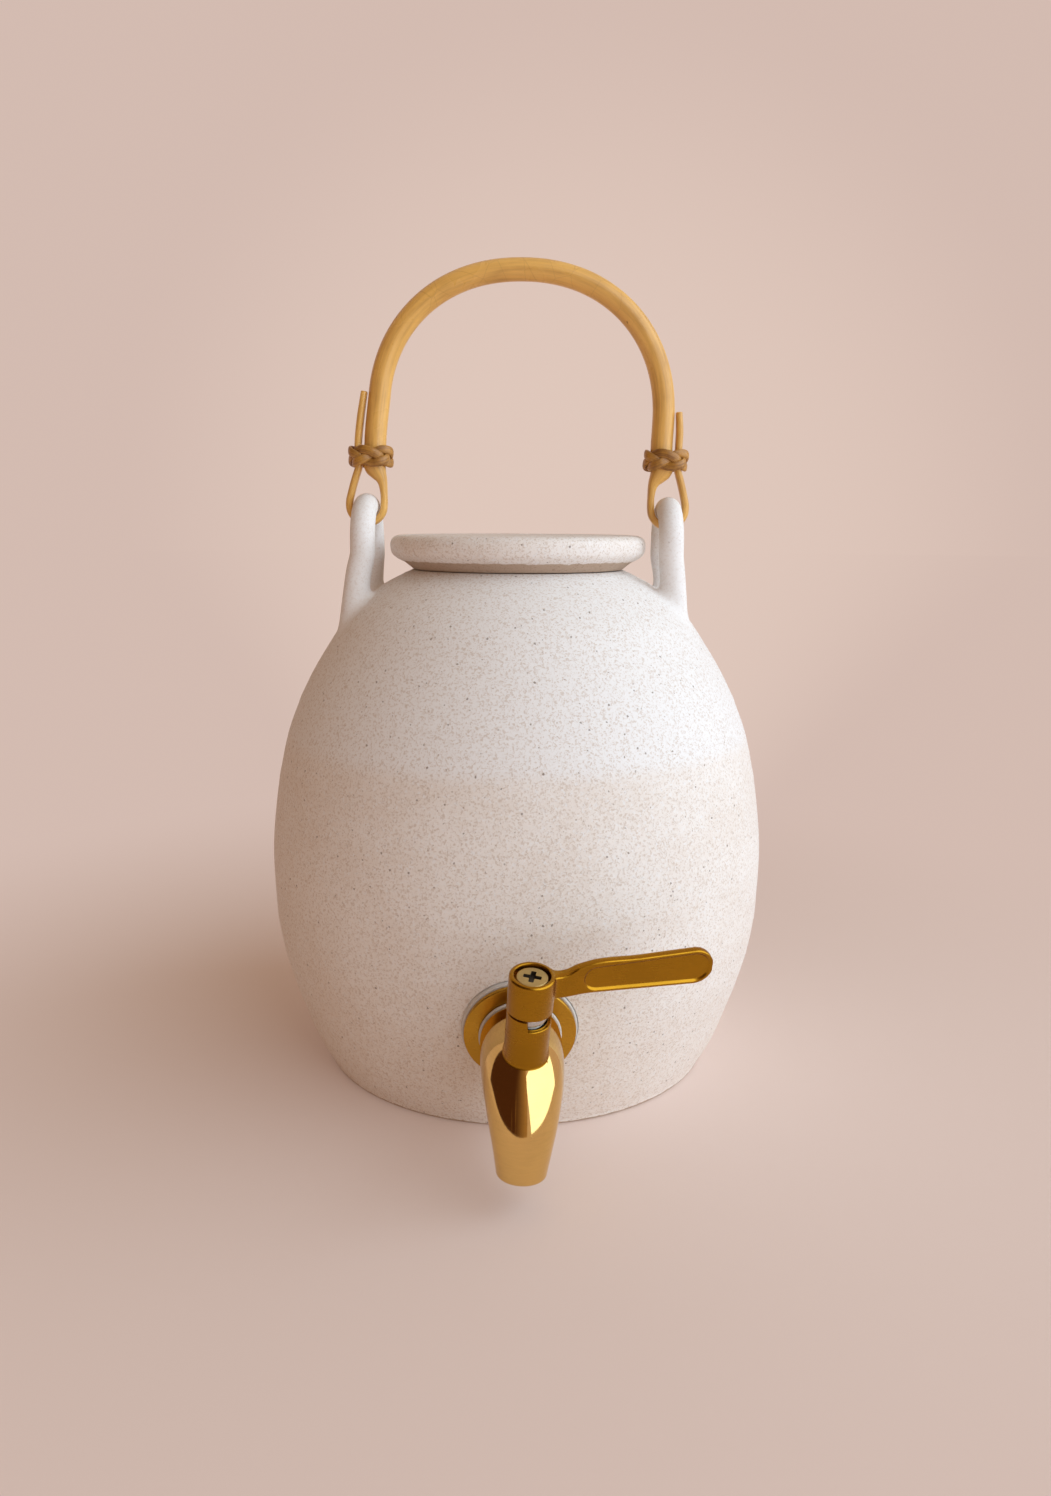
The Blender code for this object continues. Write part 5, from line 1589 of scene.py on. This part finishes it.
def seen_rays(tree):
    """1 for rays that show a thing as it looks: camera, mirror and glass rays."""
    rays = put(tree, "ShaderNodeLightPath")
    shown = sums(tree, "MAXIMUM", rays.outputs["Is Camera Ray"], rays.outputs["Is Glossy Ray"])
    return sums(tree, "MAXIMUM", shown, rays.outputs["Is Transmission Ray"])


def glowing(tree, kind, tint):
    return put(tree, kind, {"Color": tint, "Strength": 1.0})


def blended(tree, factor, first, second):
    """A shader between two others."""
    return put(tree, "ShaderNodeMixShader", {0: factor, 1: first.outputs[0], 2: second.outputs[0]})


def glow_tint(tree, heading, stage):
    """The backdrop's colour in a direction, lighter straight behind the pot."""
    inputs = {0: heading, 1: GLOW_HEADING}
    facing = put(tree, "ShaderNodeVectorMath", inputs, operation="DOT_PRODUCT").outputs["Value"]
    return mixed(tree, spread(tree, facing, 0.92, 1.0), stage.backdrop, stage.backdrop_glow)


def add_floor(stage):
    """A floor that is lit near the pot and glows like the backdrop farther off; a little of the glow stays
    next to the pot as painted light that lightens its shadow.
    """
    finish = bpy.data.materials.new("rose_floor")
    tree = bare_tree(finish)
    where = places(tree)
    reach = put(tree, "ShaderNodeVectorMath", {0: where}, operation="LENGTH").outputs["Value"]
    heading = put(tree, "ShaderNodeVectorMath", {0: where}, operation="NORMALIZE").outputs["Vector"]
    tint = mixed(tree, seen_rays(tree), stage.floor_bounce, stage.floor)
    plaster = put(tree, "ShaderNodeBsdfDiffuse", {"Color": tint})
    glow = glowing(tree, "ShaderNodeEmission", glow_tint(tree, heading, stage))
    fade = spread(tree, reach, FLOOR_FADE_START, FLOOR_FADE_END, FLOOR_LEAST_GLOW, 1.0)
    ended(tree, blended(tree, fade, plaster, glow))
    shape = bmesh.new()
    bmesh.ops.create_circle(shape, cap_ends=True, segments=FLOOR_SIDES, radius=stage.floor_radius)
    stage_piece("floor", shape, finish)


def add_world(stage):
    """Warm light from all round; behind the pot the backdrop has a soft lighter pool."""
    world = bpy.data.worlds.new("soft_studio")
    bpy.context.scene.world = world
    tree = bare_tree(world)
    heading = put(tree, "ShaderNodeTexCoord").outputs["Generated"]
    side = along_axis(tree, heading, "X")
    ambient = mixed(tree, spread(tree, side, -0.8, 0.8), stage.ambient_dim, stage.ambient)
    light = glowing(tree, "ShaderNodeBackground", ambient)
    seen = glowing(tree, "ShaderNodeBackground", glow_tint(tree, heading, stage))
    ended(tree, blended(tree, seen_rays(tree), light, seen), "ShaderNodeOutputWorld")


def add_window(stage):
    """The key light: a large soft window on the right, from beside the camera round to the side."""
    data = bpy.data.lights.new("window", "AREA")
    data.shape = "RECTANGLE"
    data.size = WINDOW_WIDTH
    data.size_y = WINDOW_HEIGHT
    data.energy = WINDOW_POWER
    data.color = stage.key
    item = bpy.data.objects.new("window", data)
    flat = cos(WINDOW_RISE)
    way = Vector((sin(WINDOW_BEARING) * flat, -cos(WINDOW_BEARING) * flat, sin(WINDOW_RISE)))
    item.location = Vector(WINDOW_AIM) + way * WINDOW_DISTANCE
    item.rotation_euler = (-way).to_track_quat("-Z", "Y").to_euler()
    item.visible_camera = False
    bpy.context.scene.collection.objects.link(item)


def add_dark_screen(stage):
    """The unlit side of the room, a curved screen that shows only in the metal's reflections."""
    finish = bpy.data.materials.new("dark_screen")
    tree = bare_tree(finish)
    where = places(tree)
    furniture = noise(tree, stretched(tree, where, (7, 7, 0.5)), 1.0, 2.0, 0.6)
    across = along_axis(tree, where, "X")
    lit = spread(tree, across, LIT_EDGE_START * SCREEN_RADIUS, LIT_EDGE_END * SCREEN_RADIUS)
    lit = sums(tree, "ADD", lit, spread(tree, furniture, 0.62, 0.70, 0.0, 0.5), clamp=True)
    ended(tree, glowing(tree, "ShaderNodeEmission", mixed(tree, lit, stage.dark_room, stage.lit_edge)))
    shape = bmesh.new()
    start = Matrix.Rotation(SCREEN_START, 3, "Z") @ Vector((0, -SCREEN_RADIUS, 0))
    low = shape.verts.new(start + Vector((0, 0, SCREEN_FOOT)))
    high = shape.verts.new(start + Vector((0, 0, SCREEN_TOP)))
    edge = shape.edges.new((low, high))
    bmesh.ops.spin(
        shape, geom=[low, high, edge], cent=(0, 0, 0), axis=(0, 0, 1), dvec=(0, 0, 0),
        angle=SCREEN_END - SCREEN_START, steps=SCREEN_STEPS, use_merge=False,
    )
    screen = stage_piece("dark_screen", shape, finish)
    screen.visible_camera = False
    screen.visible_diffuse = False
    screen.visible_shadow = False


def add_camera():
    lens = bpy.data.cameras.new("camera")
    lens.sensor_fit = "VERTICAL"
    lens.sensor_height = SENSOR
    lens.sensor_width = SENSOR
    lens.lens = LENS
    camera = bpy.data.objects.new("camera", lens)
    turn = Matrix.Rotation(CAMERA_PITCH, 4, "X") @ Matrix.Rotation(CAMERA_ROLL, 4, "Z")
    camera.matrix_world = Matrix.Translation(CAMERA_PLACE) @ turn
    bpy.context.scene.collection.objects.link(camera)
    bpy.context.scene.camera = camera


def add_stage(look):
    add_floor(look.stage)
    add_world(look.stage)
    add_window(look.stage)
    add_dark_screen(look.stage)
    add_camera()
    bpy.context.scene.view_settings.view_transform = "Standard"


# Operators


class WATERPOT_OT_jar(bpy.types.Operator):
    """Model and glaze the jar"""

    bl_idname = "water_pot.jar"
    bl_label = "Jar"

    def execute(self, context):
        add_jar(context.scene.water_pot)
        return {"FINISHED"}


class WATERPOT_OT_lugs(bpy.types.Operator):
    """Model the two arched lugs and blend them into the shoulder"""

    bl_idname = "water_pot.lugs"
    bl_label = "Lugs"

    def execute(self, context):
        add_lugs(context.scene.water_pot)
        return {"FINISHED"}


class WATERPOT_OT_lid(bpy.types.Operator):
    """Model and glaze the lid"""

    bl_idname = "water_pot.lid"
    bl_label = "Lid"

    def execute(self, context):
        add_lid(context.scene.water_pot)
        return {"FINISHED"}


class WATERPOT_OT_cane(bpy.types.Operator):
    """Model the cane handle with its looped tongues"""

    bl_idname = "water_pot.cane"
    bl_label = "Cane Handle"

    def execute(self, context):
        add_cane(context.scene.water_pot)
        return {"FINISHED"}


class WATERPOT_OT_knots(bpy.types.Operator):
    """Plait the two rattan knots"""

    bl_idname = "water_pot.knots"
    bl_label = "Knots"

    def execute(self, context):
        add_knots(context.scene.water_pot)
        return {"FINISHED"}


class WATERPOT_OT_tap(bpy.types.Operator):
    """Model the polished tap body"""

    bl_idname = "water_pot.tap"
    bl_label = "Tap Body"

    def execute(self, context):
        add_tap_body(context.scene.water_pot)
        return {"FINISHED"}


class WATERPOT_OT_fittings(bpy.types.Operator):
    """Model the flange plate and washers, and finish the inner fittings"""

    bl_idname = "water_pot.fittings"
    bl_label = "Fittings"

    def execute(self, context):
        add_fittings(context.scene.water_pot)
        dress_inner_nodes(context.scene.water_pot)
        return {"FINISHED"}


class WATERPOT_OT_lever(bpy.types.Operator):
    """Model the lever with its bare recessed panel"""

    bl_idname = "water_pot.lever"
    bl_label = "Lever"

    def execute(self, context):
        add_lever(context.scene.water_pot)
        return {"FINISHED"}


class WATERPOT_OT_screw(bpy.types.Operator):
    """Model the lever's cross-head screw"""

    bl_idname = "water_pot.screw"
    bl_label = "Lever Screw"

    def execute(self, context):
        add_screw(context.scene.water_pot)
        return {"FINISHED"}


class WATERPOT_OT_stage(bpy.types.Operator):
    """Set the floor, the soft light and the camera"""

    bl_idname = "water_pot.stage"
    bl_label = "Stage"

    def execute(self, context):
        add_stage(context.scene.water_pot)
        return {"FINISHED"}


OPERATORS = (
    WATERPOT_OT_jar, WATERPOT_OT_lugs, WATERPOT_OT_lid, WATERPOT_OT_cane, WATERPOT_OT_knots,
    WATERPOT_OT_tap, WATERPOT_OT_fittings, WATERPOT_OT_lever, WATERPOT_OT_screw, WATERPOT_OT_stage,
)


class WATERPOT_PT_sidebar(bpy.types.Panel):
    bl_label = "Water Pot"
    bl_idname = "WATERPOT_PT_sidebar"
    bl_space_type = "VIEW_3D"
    bl_region_type = "UI"
    bl_category = "Water Pot"

    def draw(self, context):
        look = context.scene.water_pot
        for operator in OPERATORS:
            self.layout.operator(operator.bl_idname)
        for group in (look.jar, look.lid, look.handle, look.tap, look.lever, look.stage):
            box = self.layout.box()
            for name in group.__annotations__:
                box.prop(group, name)


CLASSES = (
    JarSettings, LidSettings, HandleSettings, TapSettings, LeverSettings, StageSettings, WaterPotSettings,
    *OPERATORS, WATERPOT_PT_sidebar,
)


def register():
    for item in CLASSES:
        bpy.utils.register_class(item)
    bpy.types.Scene.water_pot = PointerProperty(type=WaterPotSettings)


def unregister():
    del bpy.types.Scene.water_pot
    for item in reversed(CLASSES):
        bpy.utils.unregister_class(item)


def main():
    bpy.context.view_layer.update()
    register()
    for operator in OPERATORS:
        getattr(bpy.ops.water_pot, operator.bl_idname.split(".")[1])()


if __name__ == "__main__":
    main()
